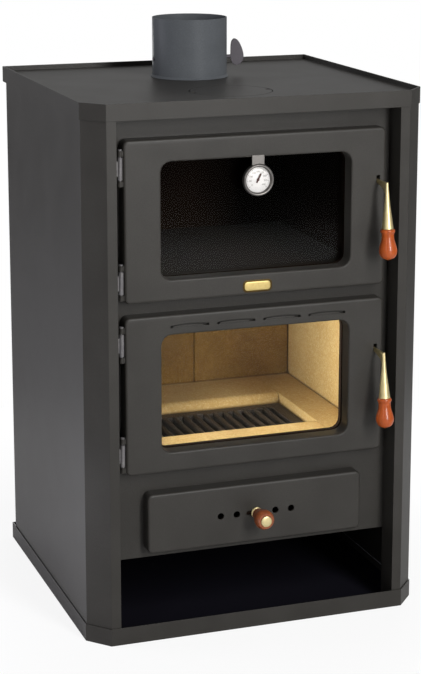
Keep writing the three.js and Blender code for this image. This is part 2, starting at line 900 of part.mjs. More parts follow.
// The door half, in the door's own frame: two knuckles with their ears.
function doorKnuckles(bottom) {
  const starts = [bottom, bottom + hingeHeight - knuckleHeight];
  return starts.map((start) => {
    const knuckle = rod('y', hingeRadius, start, start + knuckleHeight, { x: hingeX, z: -hingeSetback });
    const ear = block(
      hingeX,
      doorSheet / 2 - doorHalf,
      start,
      start + knuckleHeight,
      -(hingeSetback + hingeRadius),
      -(hingeSetback - hingePinRadius),
    );
    return unite(knuckle, ear);
  });
}

function hingePin(bottom) {
  const place = { x: hingeX, z: -hingeSetback };
  const top = bottom + hingeHeight;
  const headStart = top + gap;
  const shaft = rod('y', hingePinRadius, bottom, headStart + pinHeadHeight / 2, place);
  const head = rod('y', pinHeadRadius, headStart, headStart + pinHeadHeight, place);
  return unite(shaft, head);
}

const hingeBottoms = [hingeFromBottom, doorHeight - hingeFromTop - hingeHeight];

// Doors, in a frame whose origin is the middle of the door's lower front edge

// A pressed pan, its window tunnel, seal rib, screw bosses, latch lugs and knuckles.
function doorShell(windowBottom, windowTop, extras) {
  const face = (inset) => rounded(-doorHalf, doorHalf, 0, doorHeight, doorCorner, inset);
  const pan = stack(roundedEdge(-doorDepth, 0, doorEdge), face);
  const hollow = slab(face(doorSheet), -(doorDepth + overrun), -doorSheet);
  const inSheet = -doorSheet / 2;
  const hole = (grow) => windowOutline(windowBottom, windowTop, grow);
  const tunnel = slab(hole(doorSheet), -tunnelDepth, inSheet);
  const opening = slab(hole(0), -(tunnelDepth + overrun), overrun);
  const flareLevels = [...roundedEdge(-overrun, 0, windowEdge).slice(1), { z: overrun, inset: windowEdge }];
  const flare = stack(flareLevels, hole);
  const ribDepth = doorProud - gap * 2 - ropeRadius * 2;
  const rib = slab(sealOutline(-sealRibHalf), -ribDepth, inSheet, [sealOutline(sealRibHalf)]);
  const bossX = windowHalf + bossFromWindow;
  const bossInset = (windowTop - windowBottom) * bossEndShare;
  const bosses = [-1, 1].flatMap((side) => [windowBottom + bossInset, windowTop - bossInset].map(
    (y) => rod('z', bossRadius, -tunnelDepth, inSheet, { x: side * bossX, y }, smallSides),
  ));
  const knuckles = hingeBottoms.flatMap(doorKnuckles);
  const shell = unite(cut(pan, hollow), tunnel, rib, ...bosses, ...knuckles, ...latchLugs(), ...extras.added);
  const bores = hingeBottoms.map((bottom) => rod(
    'y',
    hingePinRadius + gap,
    bottom - overrun,
    bottom + hingeHeight + overrun,
    { x: hingeX, z: -hingeSetback },
  ));
  return cut(shell, opening, flare, latchSlot(), trunnionBore(), ...bores, ...extras.cuts);
}

function windowOutline(bottom, top, grow) {
  return rounded(-windowHalf, windowHalf, bottom, top, windowCorner, -grow);
}

function sealOutline(inset) {
  return rounded(-sealHalf, sealHalf, sealEndInset, doorHeight - sealEndInset, windowCorner, inset);
}

// The glass, held between the tunnel and the retainer.
function doorGlass(windowBottom, windowTop) {
  const front = -(tunnelDepth + gap);
  return slab(windowOutline(windowBottom, windowTop, glassLap), front - glassThickness, front);
}

function doorRetainer(windowBottom, windowTop) {
  const front = -(tunnelDepth + gap);
  const half = mouthHalf - retainerClearance;
  const foot = mouthInset + retainerClearance;
  const outline = rounded(-half, half, foot, doorHeight - foot, windowCorner);
  const frame = slab(outline, front - retainerDepth, front, [windowOutline(windowBottom, windowTop, 0)]);
  const rebate = windowOutline(windowBottom, windowTop, glassLap + gap);
  return cut(frame, slab(rebate, front - glassThickness - gap, front + overrun));
}

// The rope seal, a ring of round section on the seal rib.
function doorSeal() {
  const centre = -(doorProud - gap - ropeRadius);
  const levels = Array.from({ length: ropeSides }, (_, side) => {
    const angle = (Math.PI * 2 * side) / ropeSides;
    return { z: centre + ropeRadius * Math.sin(angle), inset: -ropeRadius * Math.cos(angle) };
  });
  return stack(levels, sealOutline, true);
}

// Four arched slots over the fire window and the deflector behind them.
function eyebrowSlots() {
  const slotHeight = eyebrowEnd + eyebrowArch;
  const y = doorHeight - eyebrowFromTop - slotHeight / 2;
  const cuts = Array.from({ length: eyebrowCount }, (_, at) => {
    const x = eyebrowShift + (at - (eyebrowCount - 1) / 2) * eyebrowPitch;
    return slab(eyebrowOutline(x, y), -(doorSheet + gap), overrun);
  });
  const halfRow = ((eyebrowCount - 1) * eyebrowPitch + eyebrowLength) / 2;
  const ends = [eyebrowShift - halfRow - slotHeight, eyebrowShift + halfRow + slotHeight];
  const top = y + slotHeight + deflectorSheet * 2;
  const web = block(...ends, top - deflectorSheet, top, -deflectorStandoff, -doorSheet / 2);
  const fall = block(
    ...ends,
    top - deflectorDrop,
    top,
    -(deflectorStandoff + deflectorSheet),
    -deflectorStandoff,
  );
  return { added: [unite(web, fall)], cuts };
}

// One slot: a straight foot, blunt ends and an arched head.
function eyebrowOutline(x, y) {
  const half = eyebrowLength / 2;
  const radius = (half * half + eyebrowArch * eyebrowArch) / (eyebrowArch * 2);
  const centre = y + eyebrowEnd + eyebrowArch - radius;
  const reach = Math.asin(half / radius) / quarterTurn;
  return [[x - half, y], [x + half, y], ...arc(x, centre, radius, 1 - reach, 1 + reach, eyebrowSteps)];
}

// Lift latch, in a frame whose origin is its pivot

// Two lugs in the door that carry the latch's trunnions.
function latchLugs() {
  const inner = latchSheet / 2 + gap;
  return [latchX - inner - lugSheet, latchX + inner].map((x) => block(
    x,
    x + lugSheet,
    handleY - lugHeight / 2,
    handleY + lugHeight / 2,
    -(latchSetback + trunnionRadius * 2),
    -doorSheet / 2,
  ));
}

function trunnionBore() {
  const reach = latchSheet / 2 + lugSheet + gap * 2;
  const place = { y: handleY, z: -latchSetback };
  return rod('x', trunnionRadius + gap, latchX - reach, latchX + reach, place);
}

// The slot in the door face, as long as the lift of the arm needs.
function latchSlot() {
  const lift = radians(handleLift);
  const top = latchSetback * Math.tan(lift) + armHeight / 2 / Math.cos(lift) + latchSlotPlay;
  const half = latchSheet / 2 + latchSlotPlay;
  return block(
    latchX - half,
    latchX + half,
    handleY - armHeight / 2 - latchSlotPlay,
    handleY + top,
    -(doorSheet + gap),
    overrun,
  );
}

function latchTongue() {
  const half = tongueHeight / 2;
  const outline = [
    [-tongueReach, -half / 2],
    [-(tongueReach - half / 2), -half],
    [trunnionRadius, -half],
    [trunnionRadius, half],
    [-(tongueReach - half / 2), half],
    [-tongueReach, half / 2],
  ];
  const plate = sidePlate(outline, -latchSheet / 2, latchSheet / 2);
  const reach = latchSheet / 2 + gap + lugSheet;
  return unite(plate, rod('x', trunnionRadius, -reach, reach));
}

// Turns a form made about z into the line on which the handle hangs.
function hung(profile) {
  const geometry = turned(profile, gripSides);
  geometry.rotateX(quarterTurn - radians(handleHang));
  geometry.translate(0, 0, armReach);
  return solid(geometry);
}

// The brass arm with its gusset, and the tapered shank with the spigot for the grip.
const shankShares = [[0, 0], [0.25, 0.1], [0.55, 0.38], [0.82, 0.76], [0.97, 0.98]];

function handleShank() {
  const half = armHeight / 2;
  const start = trunnionRadius + gap;
  const clearOfDoor = latchSetback + latchSlotPlay * 2;
  const arm = [
    [start, -half],
    [clearOfDoor, -half],
    [armReach - gussetLand, -(half + gussetDrop) / 2],
    [armReach, -(half + gussetDrop)],
    [armReach, half],
    [start, half],
  ];
  const taper = shankShares.map(([along, wide]) => [
    shankTopRadius + (ferruleRadius - shankTopRadius) * wide,
    shankLength * along - half,
  ]);
  const end = shankLength - half;
  const shank = hung([
    [0, -half],
    ...taper,
    [ferruleRadius, end],
    [spigotRadius, end],
    [spigotRadius, end + spigotLength],
    [0, end + spigotLength],
  ]);
  return unite(sidePlate(arm, -latchSheet / 2 + gap, latchSheet / 2 - gap), shank);
}

// The wooden grip: a collar, a waist and a bulb, in shares of its length and of the bulb's radius.
const gripCollarShare = 0.13;
const gripWaistShare = 0.28;
const gripSwellShare = 0.5;
const gripBulbShare = 0.7;
const gripRoundShare = 0.85;
const gripEndShares = [[0.93, 0.78], [0.98, 0.45], [1, 0.2]];

function handleGrip() {
  const start = shankLength - armHeight / 2 + gap;
  const bore = spigotRadius + gap;
  const at = (share) => start + gripLength * share;
  const middleRadius = (gripWaistRadius + gripBulbRadius) / 2;
  return hung([
    [bore, start],
    [gripCollarRadius - gap, start],
    [gripCollarRadius, at(gripCollarShare / 2)],
    [gripCollarRadius - gap, at(gripCollarShare)],
    [gripWaistRadius, at(gripCollarShare)],
    [gripWaistRadius, at(gripWaistShare)],
    [middleRadius, at(gripSwellShare)],
    [gripBulbRadius, at(gripBulbShare)],
    [(middleRadius + gripBulbRadius) / 2, at(gripRoundShare)],
    ...gripEndShares.map(([along, wide]) => [gripBulbRadius * wide, at(along)]),
    [0, at(1)],
    [0, start + spigotLength + gap],
    [bore, start + spigotLength + gap],
    [bore, start],
  ]);
}

// Thermometer, in a frame whose origin is its centre on the door face

function dialCase() {
  const back = -dialCaseBack;
  const front = dialCaseDepth - dialCaseBack;
  const inner = dialCaseRadius - dialCaseWall;
  const lip = dialCaseWall / 3;
  const cup = turned([
    [0, back],
    [dialCaseRadius - lip, back],
    [dialCaseRadius, back + lip],
    [dialCaseRadius, front - lip],
    [dialCaseRadius - lip, front],
    [inner, front],
    [inner, back + dialCaseFloor],
    [0, back + dialCaseFloor],
  ]);
  const clipTop = thermometerDrop + clipLap;
  const strip = block(
    -clipWidth / 2,
    clipWidth / 2,
    inner + lip,
    clipTop,
    gap,
    gap + clipSheet,
  );
  const tabTop = thermometerDrop - gap;
  const tab = block(
    -clipTabWidth / 2,
    clipTabWidth / 2,
    tabTop - clipSheet,
    tabTop,
    -clipTabDepth,
    gap + clipSheet / 2,
  );
  return unite(solid(cup), strip, tab);
}

const dialBack = dialCaseFloor - dialCaseBack + gap;
const dialInner = dialCaseRadius - dialCaseWall - gap;
const lensFront = dialCaseDepth - dialCaseBack - lensSink;

// The needle's outline runs up from its tail to its point.
function needle() {
  const outline = [
    [-needleWidth / 2, -needleTail],
    [needleWidth / 2, -needleTail],
    [needleWidth / 2, 0],
    [needleWidth / 6, needleLength],
    [-needleWidth / 6, needleLength],
    [-needleWidth / 2, 0],
  ];
  const bottom = dialBack + dialSheet + gap;
  const middle = bottom + needleHubHeight / 2;
  const pointer = slab(outline, middle - needleSheet / 2, middle + needleSheet / 2);
  return unite(pointer, rod('z', needleHubRadius, bottom, bottom + needleHubHeight));
}

// Ash drawer, in a frame whose origin is the middle of its lower front edge

const airRowY = drawerHeight / 2;
const airHolePlaces = Array.from({ length: airHolesEachSide }, (_, at) => airHoleFirst + at * airHolePitch)
  .flatMap((x) => [-x, x]);
const shutterHalf = airHoleFirst + (airHolesEachSide - 1) * airHolePitch + airHoleRadius + shutterMargin;
const shutterFront = -(doorSheet + gap);
const shutterBack = shutterFront - shutterSheet;

const airHoles = (back) => airHolePlaces
  .map((x) => rod('z', airHoleRadius, back, overrun, { x, y: airRowY }));

function drawerFront() {
  const half = drawerWidth / 2;
  const face = (inset) => rounded(-half, half, 0, drawerHeight, doorCorner, inset);
  const pan = stack(roundedEdge(-doorDepth, 0, doorEdge), face);
  const hollow = slab(face(doorSheet), -(doorDepth + overrun), -doorSheet);
  const inSheet = -doorSheet / 2;
  const posts = [-1, 1].map((side) => {
    const ends = spread(side, postFromMiddle, postFromMiddle + postSheet);
    return block(...ends, postFoot, postFoot + postHeight, -doorDepth, inSheet);
  });
  const guideHalf = shutterHalf + shutterTravel;
  const lipFront = shutterBack - gap;
  const guides = [-1, 1].flatMap((side) => {
    const inner = shutterHeight / 2 + gap;
    const outer = inner + shutterRib;
    const ribEnds = spread(side, inner, outer).map((y) => airRowY + y);
    const lipEnds = spread(side, inner - shutterLipLap, outer).map((y) => airRowY + y);
    return [
      block(-guideHalf, shutterHalf, ...ribEnds, lipFront - shutterLipSheet, inSheet),
      block(-guideHalf, shutterHalf, ...lipEnds, lipFront - shutterLipSheet, lipFront),
    ];
  });
  const holes = airHoles(-(doorSheet + gap));
  const play = stemRadius + stemPlay;
  const slotOutline = longHole(-shutterTravel - play, play, airRowY, play);
  const slot = slab(slotOutline, -(doorSheet + gap), overrun);
  return cut(unite(cut(pan, hollow), ...posts, ...guides), ...holes, slot);
}

function airShutter() {
  const holes = airHoles(shutterBack - overrun);
  const middle = shutterHeight / 2;
  const plate = slab(
    rectangle(-shutterHalf, shutterHalf, airRowY - middle, airRowY + middle),
    shutterBack,
    shutterFront,
  );
  return cut(plate, ...holes);
}

// The pear-shaped air knob, in shares of its length and of its swell, and its brass in shares of the radii.
const knobShares = [[0, 0], [0.25, 0.2], [0.45, 0.62], [0.62, 0.92], [0.76, 1], [0.88, 0.88]];
const ferruleTipShare = 0.7;
const screwCrownShare = 0.7;

// The stem, its ferrule against the door face and the spigot inside the knob.
function knobStem() {
  const ferruleStart = stemPlay;
  const ferruleEnd = ferruleStart + knobFerruleLength;
  return solid(turned([
    [0, shutterFront + gap],
    [stemRadius, shutterFront + gap],
    [stemRadius, ferruleStart],
    [knobFerruleRadius, ferruleStart],
    [knobFerruleRadius, ferruleStart + knobFerruleLength / 3],
    [knobFerruleRadius * ferruleTipShare, ferruleEnd],
    [stemRadius - gap / 3, ferruleEnd],
    [stemRadius - gap / 3, ferruleEnd + knobSpigotLength],
    [0, ferruleEnd + knobSpigotLength],
  ], gripSides));
}

function airKnob() {
  const start = stemPlay + knobFerruleLength + gap;
  const end = start + knobLength;
  const bore = stemRadius + gap;
  const recess = screwHeadRadius + gap;
  const swell = knobShares.map(([along, wide]) => [
    knobBackRadius + (knobRadius - knobBackRadius) * wide,
    start + knobLength * along,
  ]);
  return solid(turned([
    [bore, start],
    ...swell,
    [knobFrontRadius, end],
    [recess, end],
    [recess, end - knobRecess],
    [bore, end - knobRecess],
    [bore, start],
  ], gripSides));
}

function knobScrew() {
  const seat = stemPlay + knobFerruleLength + gap + knobLength - knobRecess + gap;
  return solid(turned([
    [0, seat - screwShankLength],
    [screwShankRadius, seat - screwShankLength],
    [screwShankRadius, seat],
    [screwHeadRadius, seat],
    [screwHeadRadius, seat + screwHeadHeight / 2],
    [screwHeadRadius * screwCrownShare, seat + screwHeadHeight],
    [0, seat + screwHeadHeight],
  ], gripSides));
}

// Ash pan: a floor plate, and a band of walls welded on it. The side walls have a stiffening lip.

const panBack = panFront + panLength;
const panTop = panBottom + panHeight;

function panFloor() {
  return block(-panHalf, panHalf, panFront, panBack, panBottom, panBottom + panSheet);
}

function panWalls() {
  const inner = panHalf - panSheet;
  const band = cut(
    block(-panHalf, panHalf, panFront, panBack, panBottom + panSheet + gap, panTop),
    block(-inner, inner, panFront + panSheet, panBack - panSheet, panBottom, panTop + overrun),
  );
  const lips = [-1, 1].map((side) => {
    const ends = spread(side, panHalf - panSheet / 2, panHalf + panLip);
    return block(...ends, panFront + plateSheet + panLip, panBack, panTop - panSheet, panTop);
  });
  return unite(band, ...lips);
}

// Assembly

// One door with everything that swings on it.
function door(name, bottom, windowBottom, windowTop, extras) {
  const group = facing(doorFront, bottom);
  group.add(
    piece(`${name}_door_shell`, doorShell(windowBottom, windowTop, extras), 'stovePaint'),
    piece(`${name}_door_glass`, doorGlass(windowBottom, windowTop), 'clearGlass'),
    piece(`${name}_door_retainer`, doorRetainer(windowBottom, windowTop), 'darkSteel'),
    piece(`${name}_door_seal`, doorSeal(), 'rope'),
  );
  hingeBottoms.forEach((hingeBottom, at) => {
    group.add(piece(`${name}_hinge_pin_${hingeNames[at]}`, hingePin(hingeBottom), 'greySteel'));
  });
  const handle = new THREE.Group();
  handle.position.set(latchX, handleY, -latchSetback);
  handle.add(
    piece(`${name}_latch_tongue`, latchTongue(), 'darkSteel'),
    piece(`${name}_handle_shank`, handleShank(), 'brass'),
    piece(`${name}_handle_grip`, handleGrip(), 'stainedBeech'),
  );
  group.add(handle);
  return group;
}

const hingeNames = ['lower', 'upper'];

function weldedHinges(name, doorBottom) {
  return hingeBottoms.map((bottom, at) => piece(
    `${name}_hinge_barrel_${hingeNames[at]}`,
    hingeBarrel(doorBottom + bottom),
    'greySteel',
  ));
}

function thermometer(windowTop) {
  const group = new THREE.Group();
  group.position.set(0, windowTop - thermometerDrop, 0);
  const dial = rod('z', dialInner, dialBack, dialBack + dialSheet, {}, roundSides);
  const lens = rod('z', dialInner, lensFront - lensSheet, lensFront, {}, roundSides);
  const pointer = piece('thermometer_needle', needle(), 'needlePaint');
  pointer.rotation.z = -radians(needleAngle);
  group.add(
    piece('thermometer_case', dialCase(), 'brightSteel'),
    piece('thermometer_dial', dial, 'whiteEnamel'),
    piece('thermometer_lens', lens, 'clearGlass'),
    pointer,
  );
  return group;
}

function badge() {
  const half = badgeWidth / 2;
  const low = badgeFromBottom - badgeHeight / 2;
  const outline = rounded(-half, half, low, low + badgeHeight, badgeCorner);
  return piece('badge_plate', slab(outline, gap, gap + badgeSheet), 'brass');
}

const key = piece('damper_key', damperKey(), 'greySteel');
key.rotation.x = quarterTurn;
key.position.set(collarRadius + damperRodReach + gap, flueY, damperZ);

const body = new THREE.Group();
body.add(
  piece('base_tray', baseTray(), 'stovePaint'),
  piece('top_tray', topTray(), 'stovePaint'),
  piece('hob_seat_ring', hobSeatRing(), 'darkSteel'),
  piece('flue_collar', flueCollar(), 'stovePaint'),
  piece('left_casing', casing(-1), 'stovePaint'),
  piece('right_casing', casing(1), 'stovePaint'),
  piece('carcass_shell', carcassShell(), 'darkSteel'),
  piece('ash_floor', ashFloor(), 'darkSteel'),
  piece('hearth_plate', hearthPlate(), 'darkSteel'),
  piece('smoke_baffle', smokeBaffle(), 'darkSteel'),
  facing(plateFront, 0, piece('front_plate', frontPlate(), 'stovePaint')),
  facing(ovenFront, 0, piece('oven_box', ovenBox(), 'darkSteel')),
  facing(casingBack + gap, 0, piece('back_panel', backPanel(), 'stovePaint')),
  ...weldedHinges('oven', ovenDoorBottom),
  ...weldedHinges('fire', fireDoorBottom),
);

const lining = new THREE.Group();
const sideOuter = wallFace - gap;
const floorBack = backFace - gap;
lining.add(
  piece('wall_brick_left', wallBrickPiece(-1), 'firebrick'),
  piece('wall_brick_right', wallBrickPiece(1), 'firebrick'),
  piece('back_brick_left', backBrickPiece(-sideOuter, backSeam - gap / 2), 'firebrick'),
  piece('back_brick_right', backBrickPiece(backSeam + gap / 2, sideOuter), 'firebrick'),
  piece('floor_brick_left', floorBrickPiece(-sideOuter, -bedHalf, carcassFront, floorBack), 'firebrick'),
  piece('floor_brick_right', floorBrickPiece(bedHalf, sideOuter, carcassFront, floorBack), 'firebrick'),
  piece('floor_brick_front', floorBrickPiece(
    gap - bedHalf,
    bedHalf - gap,
    carcassFront,
    grateFront - bedClearance,
  ), 'firebrick'),
  piece('floor_brick_back', floorBrickBack(), 'firebrick'),
  piece('grate', grate(), 'castIron'),
);

const flueDamper = new THREE.Group();
flueDamper.add(
  piece('damper_plate', damperPlate(), 'castIron'),
  piece('damper_rod', damperRod(), 'greySteel'),
  key,
);

const ovenWindowTop = doorHeight - ovenWindowHead;
const ovenDoor = door('oven', ovenDoorBottom, ovenWindowFoot, ovenWindowTop, { added: [], cuts: [] });
ovenDoor.add(badge(), thermometer(ovenWindowTop));

const fireDoor = door('fire', fireDoorBottom, fireWindowFoot, doorHeight - fireWindowHead, eyebrowSlots());

const airSlide = new THREE.Group();
airSlide.add(
  piece('air_shutter', airShutter(), 'darkSteel'),
);
const knob = new THREE.Group();
knob.position.y = airRowY;
knob.add(
  piece('knob_stem', knobStem(), 'brass'),
  piece('air_knob', airKnob(), 'stainedBeech'),
  piece('knob_screw', knobScrew(), 'brass'),
);
airSlide.add(knob);

const drawer = new THREE.Group();
drawer.add(
  facing(doorFront, drawerBottom, piece('drawer_front', drawerFront(), 'stovePaint'), airSlide),
  piece('ash_pan_floor', panFloor(), 'darkSteel'),
  piece('ash_pan_walls', panWalls(), 'darkSteel'),
);

const stove = new THREE.Group();
stove.add(body, lining, flueDamper, piece('hob_lid', hobLid(), 'stovePaint'), ovenDoor, fireDoor, drawer);

export default stove;
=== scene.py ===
"""The looks of a wood-burning stove with an oven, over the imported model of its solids.

Sizes are in millimetres and turn to metres where a mesh is made. X runs to the right, Y to the
back and Z up, and the origin lies on the floor under the middle of the base tray.
"""

import json
import logging
import math
from dataclasses import dataclass, field
from enum import Enum
from typing import Any, ClassVar, Mapping, Sequence

import bpy
from mathutils import Matrix, Vector

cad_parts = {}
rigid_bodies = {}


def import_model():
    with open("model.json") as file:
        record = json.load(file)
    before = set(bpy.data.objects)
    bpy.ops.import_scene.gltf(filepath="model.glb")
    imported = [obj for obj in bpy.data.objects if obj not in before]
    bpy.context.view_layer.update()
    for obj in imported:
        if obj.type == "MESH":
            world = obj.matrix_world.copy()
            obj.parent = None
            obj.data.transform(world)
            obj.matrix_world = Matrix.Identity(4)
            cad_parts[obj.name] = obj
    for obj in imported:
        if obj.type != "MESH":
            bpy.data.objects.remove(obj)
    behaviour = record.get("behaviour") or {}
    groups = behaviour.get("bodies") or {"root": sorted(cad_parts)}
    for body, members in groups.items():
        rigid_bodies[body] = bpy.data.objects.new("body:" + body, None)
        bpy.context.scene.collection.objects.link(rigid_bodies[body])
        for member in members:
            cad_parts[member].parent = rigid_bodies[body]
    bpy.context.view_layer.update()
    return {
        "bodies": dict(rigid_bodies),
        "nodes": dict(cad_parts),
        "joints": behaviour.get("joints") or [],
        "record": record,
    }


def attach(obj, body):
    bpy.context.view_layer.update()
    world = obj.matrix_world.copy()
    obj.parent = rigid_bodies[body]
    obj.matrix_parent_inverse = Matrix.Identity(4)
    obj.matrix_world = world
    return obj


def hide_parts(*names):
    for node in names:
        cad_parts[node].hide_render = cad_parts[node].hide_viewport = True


LOG = logging.getLogger("stove")
MM = 0.001
PHOTO_HEIGHT = 674  # in pixels
SENSOR = 36.0  # in millimetres
DOOR_FACE = -250.0  # where the faces of both doors and of the drawer front lie along Y
SHARP = 35.0  # edges that turn by more degrees than this stay crisp
MIX_FACTOR, MIX_A, MIX_B = 0, 6, 7  # the sockets of a Mix node that mixes colours

Pair = tuple[float, float]
Triple = tuple[float, float, float]
Ring = Sequence[Triple]
Tree = bpy.types.NodeTree
Node = bpy.types.Node
Socket = bpy.types.NodeSocket


class Body(str, Enum):
    """The rigid bodies that drawn pieces ride on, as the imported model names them."""

    STOVE = "stove"
    OVEN_DOOR = "oven_door"
    POINTER = "thermometer_pointer"
    OVEN_HANDLE = "oven_handle"
    FIRE_DOOR = "fire_door"
    FIRE_HANDLE = "fire_handle"
    AIR_SLIDE = "air_slide"


class Grain(Enum):
    """The way that the grain of a turned piece of wood runs."""

    UPRIGHT = (1.0, 1.0, 0.1)
    OUTWARD = (1.0, 0.1, 1.0)


# Colour, pattern and scene


def linear(colour: str) -> tuple[float, float, float, float]:
    """Turns an sRGB hex colour to the linear colour that Blender works with.

    Args:
        colour: Six hex digits after a hash sign.

    Returns:
        Red, green, blue and an alpha of one.
    """
    channels = [int(colour[at : at + 2], 16) / 255 for at in (1, 3, 5)]
    bent = [c / 12.92 if c <= 0.04045 else ((c + 0.055) / 1.055) ** 2.4 for c in channels]
    return bent[0], bent[1], bent[2], 1.0


def per_metre(size: float) -> float:
    """The texture scale at which a pattern repeats about every size millimetres."""
    return 1 / (size * MM)


def add(
    tree: Tree, kind: str, inputs: Mapping[int | str, Any] | None = None, **settings: Any
) -> Node:
    """Adds a node with its settings, values and links.

    Args:
        tree: The node tree of a material, of the world or of a modifier.
        kind: Blender's name of the node type.
        inputs: Input socket to its value, or to the output socket that is linked to it. A node
            stands for its first output in use.
        **settings: The node's own properties.

    Returns:
        The new node.
    """
    node = tree.nodes.new(kind)
    for name, value in settings.items():
        setattr(node, name, value)
    for key, value in (inputs or {}).items():
        if isinstance(value, Node):
            value = next(output for output in value.outputs if output.enabled)
        if isinstance(value, Socket):
            tree.links.new(value, node.inputs[key])
        else:
            node.inputs[key].default_value = value
    return node


def cleared(owner: bpy.types.Material | bpy.types.World) -> Tree:
    """Clears the nodes of a new material or world.

    Args:
        owner: The material or world.

    Returns:
        Its node tree, with nothing in it.
    """
    owner.use_nodes = True
    owner.node_tree.nodes.clear()
    return owner.node_tree


def placed(name: str, data: bpy.types.ID) -> bpy.types.Object:
    """Makes an object and links it to the scene.

    Args:
        name: Its name.
        data: Its mesh, text, lamp or camera.

    Returns:
        The new object.
    """
    made = bpy.data.objects.new(name, data)
    bpy.context.scene.collection.objects.link(made)
    return made


# Finishes


@dataclass(frozen=True)
class Finish:
    """One material of the stove, under its common name. Each subclass draws its own nodes."""

    slot: ClassVar[str] = ""
    name: str = ""

    def shader(self, tree: Tree, place: Socket) -> Node:
        """Draws the surface.

        Args:
            tree: The material's node tree.
            place: Where a point lies on the stove, in metres.

        Returns:
            The shader node that the surface shows.
        """
        raise NotImplementedError

    def material(self) -> bpy.types.Material:
        """Makes the Blender material the first time that it is asked for.

        Returns:
            The material, which all the pieces of this finish share.
        """
        known = bpy.data.materials.get(self.name)
        if known is not None:
            return known
        made = bpy.data.materials.new(self.name)
        tree = cleared(made)
        place = add(tree, "ShaderNodeTexCoord").outputs["Object"]
        add(tree, "ShaderNodeOutputMaterial", {"Surface": self.shader(tree, place)})
        return made

    @staticmethod
    def raised(
        tree: Tree, pattern: Node | Socket, edge: float, strength: float, height: float
    ) -> Node:
        """Rounds the edges and raises a pattern on the surface.

        Args:
            tree: The material's node tree.
            pattern: How high each point lies, from zero to one.
            edge: How much the edges are rounded by.
            strength: How much of the height shows.
            height: How far the pattern's high places stand over its low ones.

        Returns:
            The node that gives the surface's normal.
        """
        rounded = add(tree, "ShaderNodeBevel", {"Radius": edge * MM}, samples=4)
        return add(tree, "ShaderNodeBump", {
            "Strength": strength, "Distance": height * MM, "Height": pattern, "Normal": rounded,
        })

    @staticmethod
    def sooted(tree: Tree, clean: Node, soot: str, reach: float, openness: Pair) -> Node:
        """Darkens a colour with painted shade where surfaces stand close together.

        Args:
            tree: The material's node tree.
            clean: The colour in the open.
            soot: The colour of the painted shade deep in a gap.
            reach: How near another surface has to be to count.
            openness: How open a place is that is all soot, and one that is clean.

        Returns:
            The node that gives the colour.
        """
        # Painted shade: ambient occlusion darkens the colour toward the shade colour in gaps and
        # corners
        open_air = add(tree, "ShaderNodeAmbientOcclusion", {"Distance": reach * MM}, samples=8)
        share = add(tree, "ShaderNodeMapRange", {
            "Value": open_air.outputs["AO"], "From Min": openness[0], "From Max": openness[1],
        })
        return add(tree, "ShaderNodeMix", {
            MIX_FACTOR: share, MIX_A: linear(soot), MIX_B: clean,
        }, data_type="RGBA")


@dataclass(frozen=True)
class SprayedPaint(Finish):
    """Heat-proof silicone paint, sprayed on steel and baked.

    It is matt with a soft sheen. Its fine grit scatters the light, so that edges show as pale
    lines and no reflection is sharp.
    """

    slot: ClassVar[str] = "stove_paint"
    name: str = "Heat-proof silicone paint, sprayed"
    colour: str = "#2C2A27"
    light: str = "#34322F"
    roughness: float = 0.42
    grit: float = 1.6  # the real grit is 0.1 mm, too fine to show, and is drawn as coarse as this
    cloud: float = 70.0  # how far apart thicker and thinner coats lie
    edge: float = 1.0  # the coat rounds each edge by this much
    relief: float = 0.12
    specular: float = 0.22

    def shader(self, tree: Tree, place: Socket) -> Node:
        """Draws the paint. Args and Returns are as in Finish.shader."""
        cloud = add(tree, "ShaderNodeTexNoise", {
            "Vector": place, "Scale": per_metre(self.cloud), "Detail": 3.0,
        })
        grit = add(tree, "ShaderNodeTexNoise", {
            "Vector": place, "Scale": per_metre(self.grit), "Detail": 2.0,
        })
        both = add(tree, "ShaderNodeMath", {0: cloud, 1: grit}, operation="MULTIPLY")
        share = add(tree, "ShaderNodeMapRange", {"Value": both, "From Min": 0.12, "From Max": 0.4})
        colour = add(tree, "ShaderNodeMix", {
            MIX_FACTOR: share, MIX_A: linear(self.colour), MIX_B: linear(self.light),
        }, data_type="RGBA")
        gloss = add(tree, "ShaderNodeMapRange", {
            "Value": cloud, "From Min": 0.3, "From Max": 0.7,
            "To Min": self.roughness - 0.015, "To Max": self.roughness + 0.02,
        })
        return add(tree, "ShaderNodeBsdfPrincipled", {
            "Base Color": colour, "Roughness": gloss, "Specular IOR Level": self.specular,
            "Normal": self.raised(tree, grit, self.edge, self.relief, height=0.2),
        })


@dataclass(frozen=True)
class InnerPaint(SprayedPaint):
    """The same paint in black on the inner body, which the fire's heat has left quite dull."""

    slot: ClassVar[str] = "dark_steel"
    name: str = "Black heat-proof paint, dulled by heat"
    colour: str = "#19110D"
    light: str = "#211813"
    roughness: float = 0.8
    relief: float = 0.0
    specular: float = 0.06


